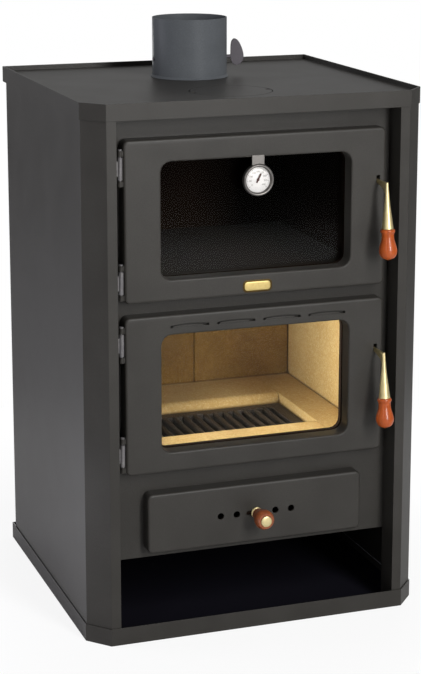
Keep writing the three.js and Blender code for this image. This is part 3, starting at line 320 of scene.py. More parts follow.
@dataclass(frozen=True)
class TrayPaint(SprayedPaint):
    """The same paint on the base tray, with painted shade in near-black on its floor.

    The painted shade makes the log bay look black right down to the floor, while the tray's rim is
    as grey as the panels.
    """

    name: str = "Heat-proof silicone paint, with painted shade on the floor"
    # The near-black painted shade on the faces that look up near the tray's floor
    primer: str = "#14131A"
    rim: float = 20.0  # what faces up below this height is the floor
    level: float = 0.7  # a face whose normal rises by more than this faces up

    def shader(self, tree: Tree, place: Socket) -> Node:
        """Draws the paint, and the painted shade on the floor. Args and Returns are as in
        Finish.shader.
        """
        coat = super().shader(tree, place)
        # Painted shade: faces that look up near the floor get this near-black shader instead of the
        # paint
        primer = add(tree, "ShaderNodeBsdfPrincipled", {
            "Base Color": linear(self.primer), "Roughness": 0.8, "Specular IOR Level": 0.05,
        })
        shape = add(tree, "ShaderNodeNewGeometry")
        rise = add(tree, "ShaderNodeSeparateXYZ", {0: shape.outputs["Normal"]}).outputs[2]
        height = add(tree, "ShaderNodeSeparateXYZ", {0: place}).outputs[2]
        up = add(tree, "ShaderNodeMath", {0: rise, 1: self.level}, operation="GREATER_THAN")
        low = add(tree, "ShaderNodeMath", {0: height, 1: self.rim * MM}, operation="LESS_THAN")
        floor = add(tree, "ShaderNodeMath", {0: up, 1: low}, operation="MULTIPLY")
        return add(tree, "ShaderNodeMixShader", {0: floor, 1: coat, 2: primer})


@dataclass(frozen=True)
class WornSteel(Finish):
    """Mild steel, turned and stamped, with its paint rubbed thin.

    Bare metal shows through in soft patches, so it is lighter and shinier than the panels.
    """

    slot: ClassVar[str] = "hinge_steel"
    name: str = "Mild steel, painted and rubbed"
    paint: str = "#5A585A"
    bare: str = "#8B8886"
    patch: float = 9.0
    rubbed: float = 0.6  # how bare the barest patch is

    def shader(self, tree: Tree, place: Socket) -> Node:
        """Draws the steel. Args and Returns are as in Finish.shader."""
        patches = add(tree, "ShaderNodeTexNoise", {
            "Vector": place, "Scale": per_metre(self.patch), "Detail": 4.0,
        })
        share = add(tree, "ShaderNodeMapRange", {
            "Value": patches, "From Min": 0.4, "From Max": 0.75, "To Max": self.rubbed,
        })
        colour = add(tree, "ShaderNodeMix", {
            MIX_FACTOR: share, MIX_A: linear(self.paint), MIX_B: linear(self.bare),
        }, data_type="RGBA")
        rounded = add(tree, "ShaderNodeBevel", {"Radius": 0.5 * MM}, samples=4)
        return add(tree, "ShaderNodeBsdfPrincipled", {
            "Base Color": colour, "Metallic": share, "Roughness": 0.42, "Normal": rounded,
        })


@dataclass(frozen=True)
class RawCasting(Finish):
    """Grey cast iron as it leaves the sand mould.

    It is brown-grey and grainy, with a dull sheen on its high places and painted shade in its gaps.
    """

    slot: ClassVar[str] = "cast_iron"
    name: str = "Grey cast iron, raw"
    colour: str = "#221B13"
    light: str = "#3A3024"
    grain: float = 2.2
    # The colour of the painted shade deep in the gaps of the grate
    crevice: str = "#0A0705"
    reach: float = 14.0  # how deep a gap is darkened with painted shade

    def shader(self, tree: Tree, place: Socket) -> Node:
        """Draws the casting. Args and Returns are as in Finish.shader."""
        grain = add(tree, "ShaderNodeTexNoise", {
            "Vector": place, "Scale": per_metre(self.grain), "Detail": 5.0,
        })
        colour = add(tree, "ShaderNodeMix", {
            MIX_FACTOR: grain, MIX_A: linear(self.colour), MIX_B: linear(self.light),
        }, data_type="RGBA")
        return add(tree, "ShaderNodeBsdfPrincipled", {
            "Base Color": self.sooted(
                tree, colour, self.crevice, self.reach, openness=(0.3, 0.85)
            ),
            "Roughness": 0.6,
            "Normal": self.raised(tree, grain, edge=1.4, strength=0.5, height=0.4),
        })


@dataclass(frozen=True)
class LiningBoard(Finish):
    """Vermiculite board, pressed from golden mica flakes.

    It is a warm sandy yellow with paler and browner flakes, and its skin is dull and slightly
    pitted.
    """

    slot: ClassVar[str] = "firebrick"
    name: str = "Vermiculite board, pressed"
    colour: str = "#CDB27C"
    shade: str = "#B59559"
    fleck: str = "#DCC894"
    # The colour of the painted shade where two boards meet
    soot: str = "#5C4524"
    flake: float = 2.4
    cloud: float = 45.0
    seam: float = 9.0  # painted shade darkens the board this far from where two boards meet

    def shader(self, tree: Tree, place: Socket) -> Node:
        """Draws the board. Args and Returns are as in Finish.shader."""
        flakes = add(tree, "ShaderNodeTexVoronoi", {
            "Vector": place, "Scale": per_metre(self.flake), "Randomness": 1.0,
        })
        tint = add(tree, "ShaderNodeSeparateColor", {0: flakes.outputs["Color"]})
        cloud = add(tree, "ShaderNodeTexNoise", {
            "Vector": place, "Scale": per_metre(self.cloud), "Detail": 4.0,
        })
        base = add(tree, "ShaderNodeMix", {
            MIX_FACTOR: cloud, MIX_A: linear(self.shade), MIX_B: linear(self.colour),
        }, data_type="RGBA")
        pale = add(tree, "ShaderNodeMapRange", {
            "Value": tint.outputs[0], "From Min": 0.55, "From Max": 1.0, "To Max": 0.55,
        })
        lit = add(tree, "ShaderNodeMix", {
            MIX_FACTOR: pale, MIX_A: base, MIX_B: linear(self.fleck),
        }, data_type="RGBA")
        brown = add(tree, "ShaderNodeMapRange", {
            "Value": tint.outputs[1], "From Min": 0.6, "From Max": 1.0, "To Max": 0.6,
        })
        colour = add(tree, "ShaderNodeMix", {
            MIX_FACTOR: brown, MIX_A: lit, MIX_B: linear(self.shade),
        }, data_type="RGBA")
        return add(tree, "ShaderNodeBsdfPrincipled", {
            "Base Color": self.sooted(tree, colour, self.soot, self.seam, openness=(0.45, 0.75)),
            "Roughness": 0.85,
            "Specular IOR Level": 0.3,
            "Normal": self.raised(tree, tint.outputs[2], edge=1.5, strength=0.35, height=0.4),
        })


@dataclass(frozen=True)
class BraidedRope(Finish):
    """Glass-fibre rope, braided and dyed black with graphite.

    Its stitches catch the light as a fine grey chequer.
    """

    slot: ClassVar[str] = "seal_rope"
    name: str = "Glass-fibre rope, braided"
    colour: str = "#242220"
    light: str = "#5B5753"
    stitch: float = 2.0

    def shader(self, tree: Tree, place: Socket) -> Node:
        """Draws the rope. Args and Returns are as in Finish.shader."""
        stitches = add(tree, "ShaderNodeTexVoronoi", {
            "Vector": place, "Scale": per_metre(self.stitch), "Randomness": 0.45,
        })
        bump = add(tree, "ShaderNodeBump", {
            "Strength": 0.7, "Distance": 0.5 * MM, "Height": stitches,
        }, invert=True)
        colour = add(tree, "ShaderNodeMix", {
            MIX_FACTOR: stitches, MIX_A: linear(self.light), MIX_B: linear(self.colour),
        }, data_type="RGBA")
        return add(tree, "ShaderNodeBsdfPrincipled", {
            "Base Color": colour, "Roughness": 0.9, "Normal": bump,
        })


@dataclass(frozen=True)
class CeramicGlass(Finish):
    """Clear glass-ceramic pane, drawn and polished.

    It lets the light through and mirrors a little of it, more at a glancing angle. The real pane
    mirrors a dark room. This room is white, so the index lies below the real 1.5.
    """

    slot: ClassVar[str] = "door_glass"
    name: str = "Glass-ceramic, polished"
    tint: str = "#FBFAF8"
    index: float = 1.14

    def shader(self, tree: Tree, place: Socket) -> Node:
        """Draws the pane, alike all over. Args and Returns are as in Finish.shader."""
        clear = add(tree, "ShaderNodeBsdfTransparent", {"Color": linear(self.tint)})
        mirror = add(tree, "ShaderNodeBsdfAnisotropic", {
            "Color": linear("#FFFFFF"), "Roughness": 0.03,
        })
        share = add(tree, "ShaderNodeFresnel", {"IOR": self.index})
        return add(tree, "ShaderNodeMixShader", {0: share, 1: clear, 2: mirror})


@dataclass(frozen=True)
class PolishedBrass(Finish):
    """Turned brass, polished and lacquered.

    Pale straw yellow where it mirrors the room, and olive brown where it mirrors the dark door.
    """

    slot: ClassVar[str] = "brass"
    name: str = "Brass, turned and polished"
    colour: str = "#DCCD9E"
    deep: str = "#C4B484"
    smudge: float = 9.0

    def shader(self, tree: Tree, place: Socket) -> Node:
        """Draws the brass. Args and Returns are as in Finish.shader."""
        smudge = add(tree, "ShaderNodeTexNoise", {
            "Vector": place, "Scale": per_metre(self.smudge), "Detail": 3.0,
        })
        colour = add(tree, "ShaderNodeMix", {
            MIX_FACTOR: smudge, MIX_A: linear(self.deep), MIX_B: linear(self.colour),
        }, data_type="RGBA")
        gloss = add(tree, "ShaderNodeMapRange", {
            "Value": smudge, "From Min": 0.3, "From Max": 0.7, "To Min": 0.38, "To Max": 0.5,
        })
        rounded = add(tree, "ShaderNodeBevel", {"Radius": 0.4 * MM}, samples=4)
        return add(tree, "ShaderNodeBsdfPrincipled", {
            "Base Color": colour, "Metallic": 1.0, "Roughness": gloss, "Normal": rounded,
        })


@dataclass(frozen=True)
class VarnishedBeech(Finish):
    """Beech, turned, stained red and varnished.

    Fine dark pores run with the grain under a clear coat that mirrors the lamps.
    """

    slot: ClassVar[str] = "stained_wood"
    name: str = "Beech, stained and varnished"
    colour: str = "#B65212"
    dark: str = "#7E3207"
    grain: Grain = Grain.UPRIGHT
    ring: float = 5.0  # growth rings
    pore: float = 1.2  # the real pores are 0.1 mm wide, and are drawn as coarse as this

    def shader(self, tree: Tree, place: Socket) -> Node:
        """Draws the wood. Args and Returns are as in Finish.shader."""
        along = add(tree, "ShaderNodeMapping", {"Vector": place, "Scale": self.grain.value})
        rings = add(tree, "ShaderNodeTexNoise", {
            "Vector": along, "Scale": per_metre(self.ring), "Detail": 3.0, "Distortion": 0.6,
        })
        pores = add(tree, "ShaderNodeTexNoise", {
            "Vector": along, "Scale": per_metre(self.pore), "Detail": 2.0,
        })
        fine = add(tree, "ShaderNodeMapRange", {
            "Value": pores, "From Min": 0.58, "From Max": 0.75, "To Max": 0.5,
        })
        base = add(tree, "ShaderNodeMix", {
            MIX_FACTOR: rings, MIX_A: linear(self.dark), MIX_B: linear(self.colour),
        }, data_type="RGBA")
        colour = add(tree, "ShaderNodeMix", {
            MIX_FACTOR: fine, MIX_A: base, MIX_B: linear(self.dark),
        }, data_type="RGBA")
        return add(tree, "ShaderNodeBsdfPrincipled", {
            "Base Color": colour, "Roughness": 0.4, "Specular IOR Level": 0.3,
            "Coat Weight": 0.25, "Coat Roughness": 0.08, "Coat IOR": 1.5,
        })


@dataclass(frozen=True)
class BrightSteel(Finish):
    """Stainless steel, pressed and brushed lightly.

    It mirrors the room softly, in greys.
    """

    slot: ClassVar[str] = "bright_steel"
    name: str = "Stainless steel, pressed"
    colour: str = "#6C6966"
    brushing: float = 1.0  # the real lines are 0.05 mm apart, and are drawn as coarse as this

    def shader(self, tree: Tree, place: Socket) -> Node:
        """Draws the steel. Args and Returns are as in Finish.shader."""
        brushing = add(tree, "ShaderNodeTexNoise", {
            "Vector": place, "Scale": per_metre(self.brushing), "Detail": 2.0,
        })
        gloss = add(tree, "ShaderNodeMapRange", {
            "Value": brushing, "To Min": 0.34, "To Max": 0.46,
        })
        rounded = add(tree, "ShaderNodeBevel", {"Radius": 0.4 * MM}, samples=4)
        return add(tree, "ShaderNodeBsdfPrincipled", {
            "Base Color": linear(self.colour), "Metallic": 1.0, "Roughness": gloss,
            "Normal": rounded,
        })


@dataclass(frozen=True)
class Enamel(Finish):
    """Stoved enamel on thin sheet, for the dial, its figures and its pointer.

    It is even and slightly glossy.
    """

    slot: ClassVar[str] = "dial_white"
    name: str = "White stoved enamel"
    colour: str = "#EBECF0"
    shade: str = "#E2E3E8"
    cloud: float = 12.0

    def shader(self, tree: Tree, place: Socket) -> Node:
        """Draws the enamel. Args and Returns are as in Finish.shader."""
        cloud = add(tree, "ShaderNodeTexNoise", {"Vector": place, "Scale": per_metre(self.cloud)})
        colour = add(tree, "ShaderNodeMix", {
            MIX_FACTOR: cloud, MIX_A: linear(self.colour), MIX_B: linear(self.shade),
        }, data_type="RGBA")
        return add(tree, "ShaderNodeBsdfPrincipled", {"Base Color": colour, "Roughness": 0.35})


PAINT = SprayedPaint()
TRAY_PAINT_SHADED_FLOOR = TrayPaint()
# A lighter, bluer copy of the paint with little gloss for the flue collar: the lighter colour is
# painted sheen
COLLAR_SHEEN_PAINT = SprayedPaint(
    "Heat-proof silicone paint, lightened on the collar", "#515457", "#5B5E62", specular=0.08
)
KEY_PAINT = SprayedPaint("Heat-proof silicone paint, on the key", "#4A464B", "#555056")
# A pale steel finish whose brightness is a painted highlight on the right sheet's lower edge
EDGE_HIGHLIGHT_STEEL = WornSteel("Mild steel, pale as a painted highlight", "#B4B4BC", "#C4C4CC")
IRON = RawCasting()
# A darker, browner copy of the board for the back wall; its darkness is painted shade
SHADED_BACK_BOARD = LiningBoard(
    "Vermiculite board, darkened as painted shade", "#8E7034", shade="#705622", fleck="#A2864A"
)
ROPE = BraidedRope()
BRASS = PolishedBrass()
BROWN_BRASS = PolishedBrass("Brass, dark brown", "#4E3F24", deep="#3C301A")
SATIN_BRASS = PolishedBrass("Brass, satin", "#C4B078", deep="#A8935A", smudge=5.0)
GRIP_WOOD = VarnishedBeech()
KNOB_WOOD = VarnishedBeech(
    "Beech, stained brown and varnished", "#9A5530", dark="#642E15", grain=Grain.OUTWARD
)
BEZEL = BrightSteel()
DIAL = Enamel()
INK = Enamel("Grey stoved enamel", "#8A8A88", "#7C7C7A")
POINTER_RED = Enamel("Dark red stoved enamel", "#4A2422", "#3A1B1A")
ONE_FOR_EACH_SLOT: Sequence[Finish] = (
    PAINT, InnerPaint(), WornSteel(), IRON, LiningBoard(), ROPE, CeramicGlass(), BRASS, GRIP_WOOD,
    BEZEL, DIAL,
)
FINISH_OF_SLOT: dict[str, Finish] = {finish.slot: finish for finish in ONE_FOR_EACH_SLOT}
FINISH_OF_SLOT["needle_paint"] = POINTER_RED


# Outlines and meshes


def facing(origin: Triple) -> Matrix:
    """A drawing plane that faces the viewer: x runs right, y up and z out of the stove's front.

    Args:
        origin: Where the plane's origin lies on the stove, in millimetres.

    Returns:
        The matrix from millimetres on the plane to metres on the stove.
    """
    x, y, z = origin
    return Matrix.Scale(MM, 4) @ Matrix(((1, 0, 0, x), (0, 0, -1, y), (0, 1, 0, z), (0, 0, 0, 1)))


def filleted(corners: Sequence[Pair], radius: float, steps: int) -> list[Pair]:
    """Rounds each corner of a convex outline that runs counter-clockwise.

    Args:
        corners: The sharp outline.
        radius: The radius of each rounded corner.
        steps: The number of straight lines in each corner.

    Returns:
        The rounded outline.
    """
    made: list[Pair] = []
    for at, corner in enumerate(corners):
        here = Vector(corner)
        before = (Vector(corners[at - 1]) - here).normalized()
        after = (Vector(corners[(at + 1) % len(corners)]) - here).normalized()
        half = before.angle(after) / 2
        middle = here + (before + after).normalized() * radius / math.sin(half)
        first = here + before * radius / math.tan(half) - middle
        sweep = math.pi - 2 * half
        for step in range(steps + 1):
            turned = Matrix.Rotation(sweep * step / steps, 2) @ first
            made.append((middle.x + turned.x, middle.y + turned.y))
    return made


def oblong(half: float, low: float, high: float) -> list[Pair]:
    """A rectangle with sharp corners, centred across and reaching from low to high."""
    return [(-half, low), (half, low), (half, high), (-half, high)]


def flowing(points: Sequence[Pair], steps: int = 4) -> list[Pair]:
    """Draws a smooth curve through the points of a profile.

    Args:
        points: The places that the curve goes through.
        steps: How many points each stretch becomes.

    Returns:
        The finer profile.
    """
    ends = [points[0], *points, points[-1]]
    made: list[Pair] = []
    for a, b, c, d in zip(ends, ends[1:], ends[2:], ends[3:]):
        for t in (step / steps for step in range(steps)):
            x, y = (
                0.5 * (
                    2 * b[i] + (c[i] - a[i]) * t + (2 * a[i] - 5 * b[i] + 4 * c[i] - d[i]) * t**2
                    + (3 * b[i] - a[i] - 3 * c[i] + d[i]) * t**3
                )
                for i in (0, 1)
            )
            made.append((x, y))
    return [*made, points[-1]]


@dataclass
class Draft:
    """One piece while it is drawn, in millimetres in a frame of its own or in the stove's."""

    place: Matrix = field(default_factory=lambda: Matrix.Scale(MM, 4))
    points: list[Triple] = field(default_factory=list)
    faces: list[tuple[int, ...]] = field(default_factory=list)

    def skin(self, rings: Sequence[Ring], loop: bool = False) -> "Draft":
        """Joins rings of equally many points to a closed skin.

        Args:
            rings: The rings, in order.
            loop: Whether the last ring joins the first. If not, a face closes either end.

        Returns:
            The draft itself, so that calls can follow each other.
        """
        start, count = len(self.points), len(rings[0])
        self.points.extend(point for ring in rings for point in ring)
        starts = [start + ring * count for ring in range(len(rings))]
        for low, high in zip(starts, starts[1:] + starts[: int(loop)]):
            for at in range(count):
                after = (at + 1) % count
                self.faces.append((low + at, low + after, high + after, high + at))
        if not loop:
            last = starts[-1]
            self.faces.append(tuple(range(start + count - 1, start - 1, -1)))
            self.faces.append(tuple(range(last, last + count)))
        return self

    def turn(self, profile: Sequence[Pair], sides: int, axis: Matrix | None = None) -> "Draft":
        """Turns a closed profile about an axis, as on a lathe.

        Args:
            profile: Radius and height of each point. It starts and ends on the axis, or closes
                on itself.
            sides: The number of sides.
            axis: The frame whose z is the axis, or None for the draft's own.

        Returns:
            The draft itself.
        """
        frame = axis or Matrix.Identity(4)
        least = 1e-4  # a ring on the axis keeps this radius
        rings = []
        for radius, height in profile:
            ring = []
            for side in range(sides):
                angle = 2 * math.pi * side / sides
                x, y = max(radius, least) * math.cos(angle), max(radius, least) * math.sin(angle)
                ring.append(tuple(frame @ Vector((x, y, height))))
            rings.append(ring)
        return self.skin(rings, loop=profile[0][0] > 0 and profile[-1][0] > 0)

    def plate(self, outline: Sequence[Pair], low: float, high: float, edge: float) -> "Draft":
        """Makes a plate of one outline, with its edges taken off.

        Args:
            outline: A convex outline that runs counter-clockwise.
            low: The height of its lower face.
            high: The height of its upper face.
            edge: The size of the chamfer round both faces.

        Returns:
            The draft itself.
        """
        count = len(outline)
        middle = Vector((sum(x for x, _ in outline) / count, sum(y for _, y in outline) / count))
        small = []
        for corner in outline:
            away = Vector(corner) - middle
            small.append(tuple(middle + away * (1 - edge / max(away.length, edge))))
        levels = [(small, low), (outline, low + edge), (outline, high - edge), (small, high)]
        return self.skin([[(x, y, z) for x, y in ring] for ring, z in levels])

    def piece(
        self, name: str, finish: Finish, body: Body, *nodes: str, sharp: float = SHARP
    ) -> None:
        """Makes the Blender object, finishes it and has it ride on its body.

        Args:
            name: The piece's name.
            finish: Its material.
            body: The body that it moves with.
            *nodes: The solids that it stands for.
            sharp: Edges that turn by more degrees than this stay sharp.
        """
        mesh = bpy.data.meshes.new(name)
        spots = [tuple(self.place @ Vector(point)) for point in self.points]
        mesh.from_pydata(spots, [], self.faces)
        mesh.validate()
        mesh.shade_smooth()
        mesh.set_sharp_from_angle(angle=math.radians(sharp))
        mesh.materials.append(finish.material())
        made = placed(name, mesh)
        if nodes:
            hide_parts(*nodes)
        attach(made, body.value)
        LOG.info("made %s", name)


def joined_facets() -> Tree:
    """Joins the facets of a solid to smooth faces with crisp edges.

    Returns:
        The node group that does it, which is made the first time that it is asked for.
    """
    known = bpy.data.node_groups.get("Joined facets")
    if known is not None:
        return known
    tree = bpy.data.node_groups.new("Joined facets", "GeometryNodeTree")
    for way in ("INPUT", "OUTPUT"):
        tree.interface.new_socket("Geometry", in_out=way, socket_type="NodeSocketGeometry")
    start = add(tree, "NodeGroupInput").outputs[0]
    bare = add(tree, "GeometryNodeRemoveAttribute", {0: start, "Name": "custom_normal"})
    whole = add(tree, "GeometryNodeMergeByDistance", {0: bare, "Distance": 0.001 * MM})
    smooth = add(tree, "GeometryNodeSetShadeSmooth", {
        0: whole, "Shade Smooth": True,
    }, domain="FACE")
    angle = add(tree, "GeometryNodeInputMeshEdgeAngle").outputs["Unsigned Angle"]
    turns = add(tree, "FunctionNodeCompare", {
        0: angle, 1: math.radians(SHARP),
    }, operation="GREATER_THAN")
    crisp = add(tree, "GeometryNodeSetShadeSmooth", {
        0: smooth, "Selection": turns, "Shade Smooth": False,
    }, domain="EDGE")
    add(tree, "NodeGroupOutput", {0: crisp})
    return tree


# Sub-assemblies


@dataclass
class Solids:
    """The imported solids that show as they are, each with the finish of its slot."""

    frame: dict[str, Any]
    own: Mapping[str, Finish] = field(
        default_factory=lambda: {
            "base_tray": TRAY_PAINT_SHADED_FLOOR,
            "flue_collar": COLLAR_SHEEN_PAINT,
            "back_brick_left": SHADED_BACK_BOARD,
            "back_brick_right": SHADED_BACK_BOARD,
            "damper_key": KEY_PAINT,
            "damper_rod": KEY_PAINT,
        }
    )

    def dress(self) -> None:
        """Gives each solid its material, and evens its shading by modifiers alone."""
        slots = {row["node"]: row["material_slot"] for row in self.frame["record"]["subparts"]}
        for name, node in self.frame["nodes"].items():
            finish = self.own.get(name, FINISH_OF_SLOT[slots[name]]).material()
            for slot in node.material_slots:
                slot.material = finish
            node.modifiers.new("Joined facets", "NODES").node_group = joined_facets()
            node.modifiers.new("Even shading", "WEIGHTED_NORMAL").keep_sharp = True
        LOG.info("dressed %d solids", len(slots))


@dataclass
class LiftHandle:
    """The brass lever of a door latch with its turned wooden grip."""

    name: str
    body: Body
    pivot: Triple
    # How far out and how far up each corner of the arm lies
    arm: Sequence[Pair] = ((2.5, -3), (10.6, -3), (35.2, -10), (43, -20), (43, 3), (2.5, 3))
    # How far to the side each section of the arm lies, and how much its edges are taken off there
    arm_sections: Sequence[Pair] = ((-2.0, 0.5), (-1.5, 0.0), (1.5, 0.0), (2.0, 0.5))
    reach: float = 43.0
    hang: float = 5.0  # degrees that the shank leans outward
    shank_length: float = 75.0
    tip_radius: float = 2.7
    ferrule_radius: float = 9.3
    # Between tip and ferrule: the share of the ferrule's radius, and of the shank's length
    taper: Sequence[Pair] = ((0.45, 0.33), (0.7, 0.62), (0.95, 0.88))
    foot: float = 3.0  # how far the grip reaches over the shank's end
    grip_length: float = 51.0
    # The radius, and the share of the grip's length
    collar: Sequence[Pair] = ((10.6, 0.0), (12.0, 0.06), (11.0, 0.125))
    bulb: Sequence[Pair] = (
        (10.2, 0.15), (10.1, 0.28), (11.6, 0.42), (13.8, 0.56),
        (14.9, 0.7), (13.3, 0.83), (9.3, 0.93), (0.0, 1.0),
    )

    def axis(self) -> Matrix:
        """The frame of the shank: its z runs down the handle and leans a little outward."""
        lean = Matrix.Rotation(math.radians(90 - self.hang), 4, "X")
        return Matrix.Translation((0, 0, self.reach)) @ lean

    def lever(self) -> None:
        """Makes the arm plate and the tapered shank."""
        draft = Draft(facing(self.pivot))
        draft.skin([
            [(across, up + math.copysign(chamfer, -up), out) for out, up in self.arm]
            for across, chamfer in self.arm_sections
        ])
        tip, wide, end = self.tip_radius, self.ferrule_radius, self.shank_length - self.foot
        middle = [(wide * girth, self.shank_length * along) for girth, along in self.taper]
        profile = [(0.0, -3.4), (tip - 0.6, -3.4), (tip, -2.8)]
        profile += flowing([(tip, 0.0), *middle, (wide, end - 0.4)])
        profile += [(wide + 0.4, end), (3.2, end), (0.0, end)]
        draft.turn(profile, sides=48, axis=self.axis())
        node = f"{self.name}_handle_shank"
        draft.piece(f"{self.name}_lever", BRASS, self.body, node, sharp=50)

    def grip(self) -> None:
        """Makes the wooden grip with its collar, waist and bulb."""
        start = self.shank_length - self.foot + 0.3
        profile = [(0.0, start)]
        for part in (self.collar, self.bulb):
            profile += flowing([(radius, start + self.grip_length * at) for radius, at in part])
        draft = Draft(facing(self.pivot)).turn(profile, sides=48, axis=self.axis())
        node = f"{self.name}_handle_grip"
        draft.piece(f"{self.name}_grip", GRIP_WOOD, self.body, node, sharp=40)


@dataclass
class Thermometer:
    """The dial thermometer that hangs by a steel clip in the oven door's window."""

    place: Matrix = field(default_factory=lambda: facing((0.0, DOOR_FACE, 750.0)))
    radius: float = 26.0
    bezel: float = 4.8
    depth: float = 6.0
    back: float = 3.0
    clip_width: float = 21.0
    clip_top: float = 40.0
    hook: float = 20.0  # how far the clip's tab reaches in over the window's edge
    figures: Sequence[int] = tuple(range(0, 401, 50))
    figure_radius: float = 13.0
    figure_height: float = 4.2
    first_angle: float = 130.0
    sweep: float = 260.0
    marks_per_figure: int = 5
    long_mark: Pair = (0.35, 16.6)  # half its width, and the radius that it starts at
    short_mark: Pair = (0.2, 17.6)
    mark_end: float = 19.4
    shown: float = -27.0  # degrees that the pointer is turned from upright
    blade: Sequence[Pair] = (
        (-1.2, -5.5), (1.2, -5.5), (1.5, 0.0), (1.5, 9.0),
        (0.9, 11.0), (-0.9, 11.0), (-1.5, 9.0), (-1.5, 0.0),
    )
    hub: Sequence[Pair] = ((0.0, 0.0), (2.2, 0.0), (2.2, 1.3), (1.6, 1.7), (0.0, 1.8))

    def case(self) -> None:
        """Makes the case with its rolled bezel, and the clip that holds it."""
        r, inner, front = self.radius, self.radius - self.bezel, self.depth
        roll = [(inner, front - 3.2), (inner + 0.2, front - 1.6), (inner + 1.4, front - 0.3)]
        roll += [(inner + 2.8, front), (r - 1.2, front - 0.5), (r - 0.2, front - 1.6)]
        roll += [(r, front - 3.0)]
        profile = [(0.0, -self.back), (r - 1.0, -self.back), (r, -self.back + 1.0)]
        profile += [*reversed(flowing(roll)), (inner, -1.4), (0.0, -1.4)]
        draft = Draft(self.place).turn(profile, sides=64)
        half, top = self.clip_width / 2, self.clip_top
        low = math.sqrt(r**2 - half**2) - 2.0  # the clip's corners end inside the case
        clip = filleted(oblong(half, low, top), radius=1.2, steps=3)
        draft.plate(clip, low=0.35, high=1.45, edge=0.3)
        tab = oblong(6.0, top - 4.6, top - 3.4)
        draft.plate(tab, low=-self.hook, high=0.6, edge=0.2)
        draft.piece(
            "thermometer_housing", BEZEL, Body.OVEN_DOOR, "thermometer_case", sharp=40
        )

    def dial(self) -> None:
        """Makes the white dial."""
        edge = self.radius - self.bezel - 0.2
        profile = [(0.0, -1.0), (edge, -1.0), (edge, -0.4), (edge - 0.3, -0.2), (0.0, -0.2)]
        draft = Draft(self.place).turn(profile, sides=64)
        draft.piece("thermometer_face", DIAL, Body.OVEN_DOOR, "thermometer_dial")

    def scale_marks(self) -> None:
        """Makes the marks of the scale."""
        draft = Draft(self.place)
        marks = (len(self.figures) - 1) * self.marks_per_figure
        for mark in range(marks + 1):
            turn = math.radians(self.first_angle - self.sweep * mark / marks)
            spin = Matrix.Rotation(turn, 4, "Z")
            half, low = self.short_mark if mark % self.marks_per_figure else self.long_mark
            ring = oblong(half, low, self.mark_end)
            draft.skin([[tuple(spin @ Vector((*xy, z))) for xy in ring] for z in (-0.25, -0.1)])
        draft.piece("thermometer_marks", INK, Body.OVEN_DOOR)

    def numerals(self) -> None:
        """Writes the temperatures round the dial."""
        for at, figure in enumerate(self.figures):
            share = at / (len(self.figures) - 1)
            angle = math.radians(90 + self.first_angle - self.sweep * share)
            curve = bpy.data.curves.new(f"temperature_{figure}", "FONT")
            curve.body = str(figure)
            curve.size = self.figure_height
            curve.align_x, curve.align_y = "CENTER", "CENTER"
            curve.extrude = 0.06
            curve.materials.append(INK.material())
            made = placed(f"temperature_{figure}", curve)
            across, up = self.figure_radius * math.cos(angle), self.figure_radius * math.sin(angle)
            made.matrix_world = self.place @ Matrix.Translation((across, up, -0.1))
            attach(made, Body.OVEN_DOOR.value)
        LOG.info("wrote %d figures", len(self.figures))

    def pointer(self) -> None:
        """Makes the pointer with its hub."""
        draft = Draft(self.place @ Matrix.Rotation(math.radians(self.shown), 4, "Z"))
        draft.plate(self.blade, low=0.5, high=1.1, edge=0.1).turn(self.hub, sides=24)
        draft.piece(
            "thermometer_pointer_blade", POINTER_RED, Body.POINTER, "thermometer_needle"
        )

    def build(self) -> None:
        """Builds the thermometer."""
        self.case()
        self.dial()
        self.scale_marks()
        self.numerals()
        self.pointer()


@dataclass
class AirKnob:
    """The turned knob of the air slide on the drawer front."""

    face: Matrix = field(default_factory=lambda: facing((0.0, DOOR_FACE, 191.5)))
    play: float = 0.6
    ferrule_length: float = 7.0
    stem_length: float = 29.0
    gap: float = 0.3  # between the brass and the wood
    wood_length: float = 39.0
    recess: float = 1.2  # how deep the screw's head sits in the wood
    # The radius, and how far from the wood's start
    swell: Sequence[Pair] = (
        (9.6, 0.0), (10.9, 9.7), (13.7, 17.5), (15.7, 24.2),
        (16.2, 29.6), (15.4, 34.3), (12.8, 38.8),
    )

    def ferrule(self) -> None:
        """Makes the brass stem and its ferrule."""
        start, end = self.play, self.play + self.ferrule_length
        tip = end + self.stem_length
        profile = [(0.0, -3.2), (3.0, -3.2), (3.0, start), (8.8, start), (9.5, start + 0.7)]
        profile += [(9.5, start + 2.2)]
        profile += flowing([(9.2, start + 2.8), (7.6, start + 4.2), (6.7, end)])
        profile += [(2.9, end), (2.9, tip), (0.0, tip)]
        draft = Draft(self.face).turn(profile, sides=40)
        draft.piece("knob_ferrule", BRASS, Body.AIR_SLIDE, "knob_stem")

    def wood(self) -> None:
        """Makes the wooden knob."""
        start = self.play + self.ferrule_length + self.gap
        end, seat = start + self.wood_length, start + self.wood_length - self.recess
        profile = flowing([(radius, start + along) for radius, along in self.swell])
        profile += [(9.9, end), (9.6, end - 0.4), (9.6, seat), (3.3, seat), (3.3, start)]
        draft = Draft(self.face).turn(profile, sides=56)
        draft.piece("air_knob_wood", KNOB_WOOD, Body.AIR_SLIDE, "air_knob")

    def screw(self) -> None:
        """Makes the brass cap screw."""
        wood = self.play + self.ferrule_length + self.gap + self.wood_length
        seat = wood - self.recess + self.gap
        tip, crown = seat - 7.0, seat + 3.6
        profile = [(0.0, tip), (2.6, tip), (2.6, seat), (8.9, seat), (9.3, seat + 0.5)]
        profile += flowing([(9.3, seat + 1.6), (8.6, seat + 2.6), (5.5, seat + 3.3), (0.0, crown)])
        draft = Draft(self.face).turn(profile, sides=40)
        draft.piece("knob_cap_screw", BRASS, Body.AIR_SLIDE, "knob_screw")

    def build(self) -> None:
        """Builds the knob."""
        self.ferrule()
        self.wood()
        self.screw()


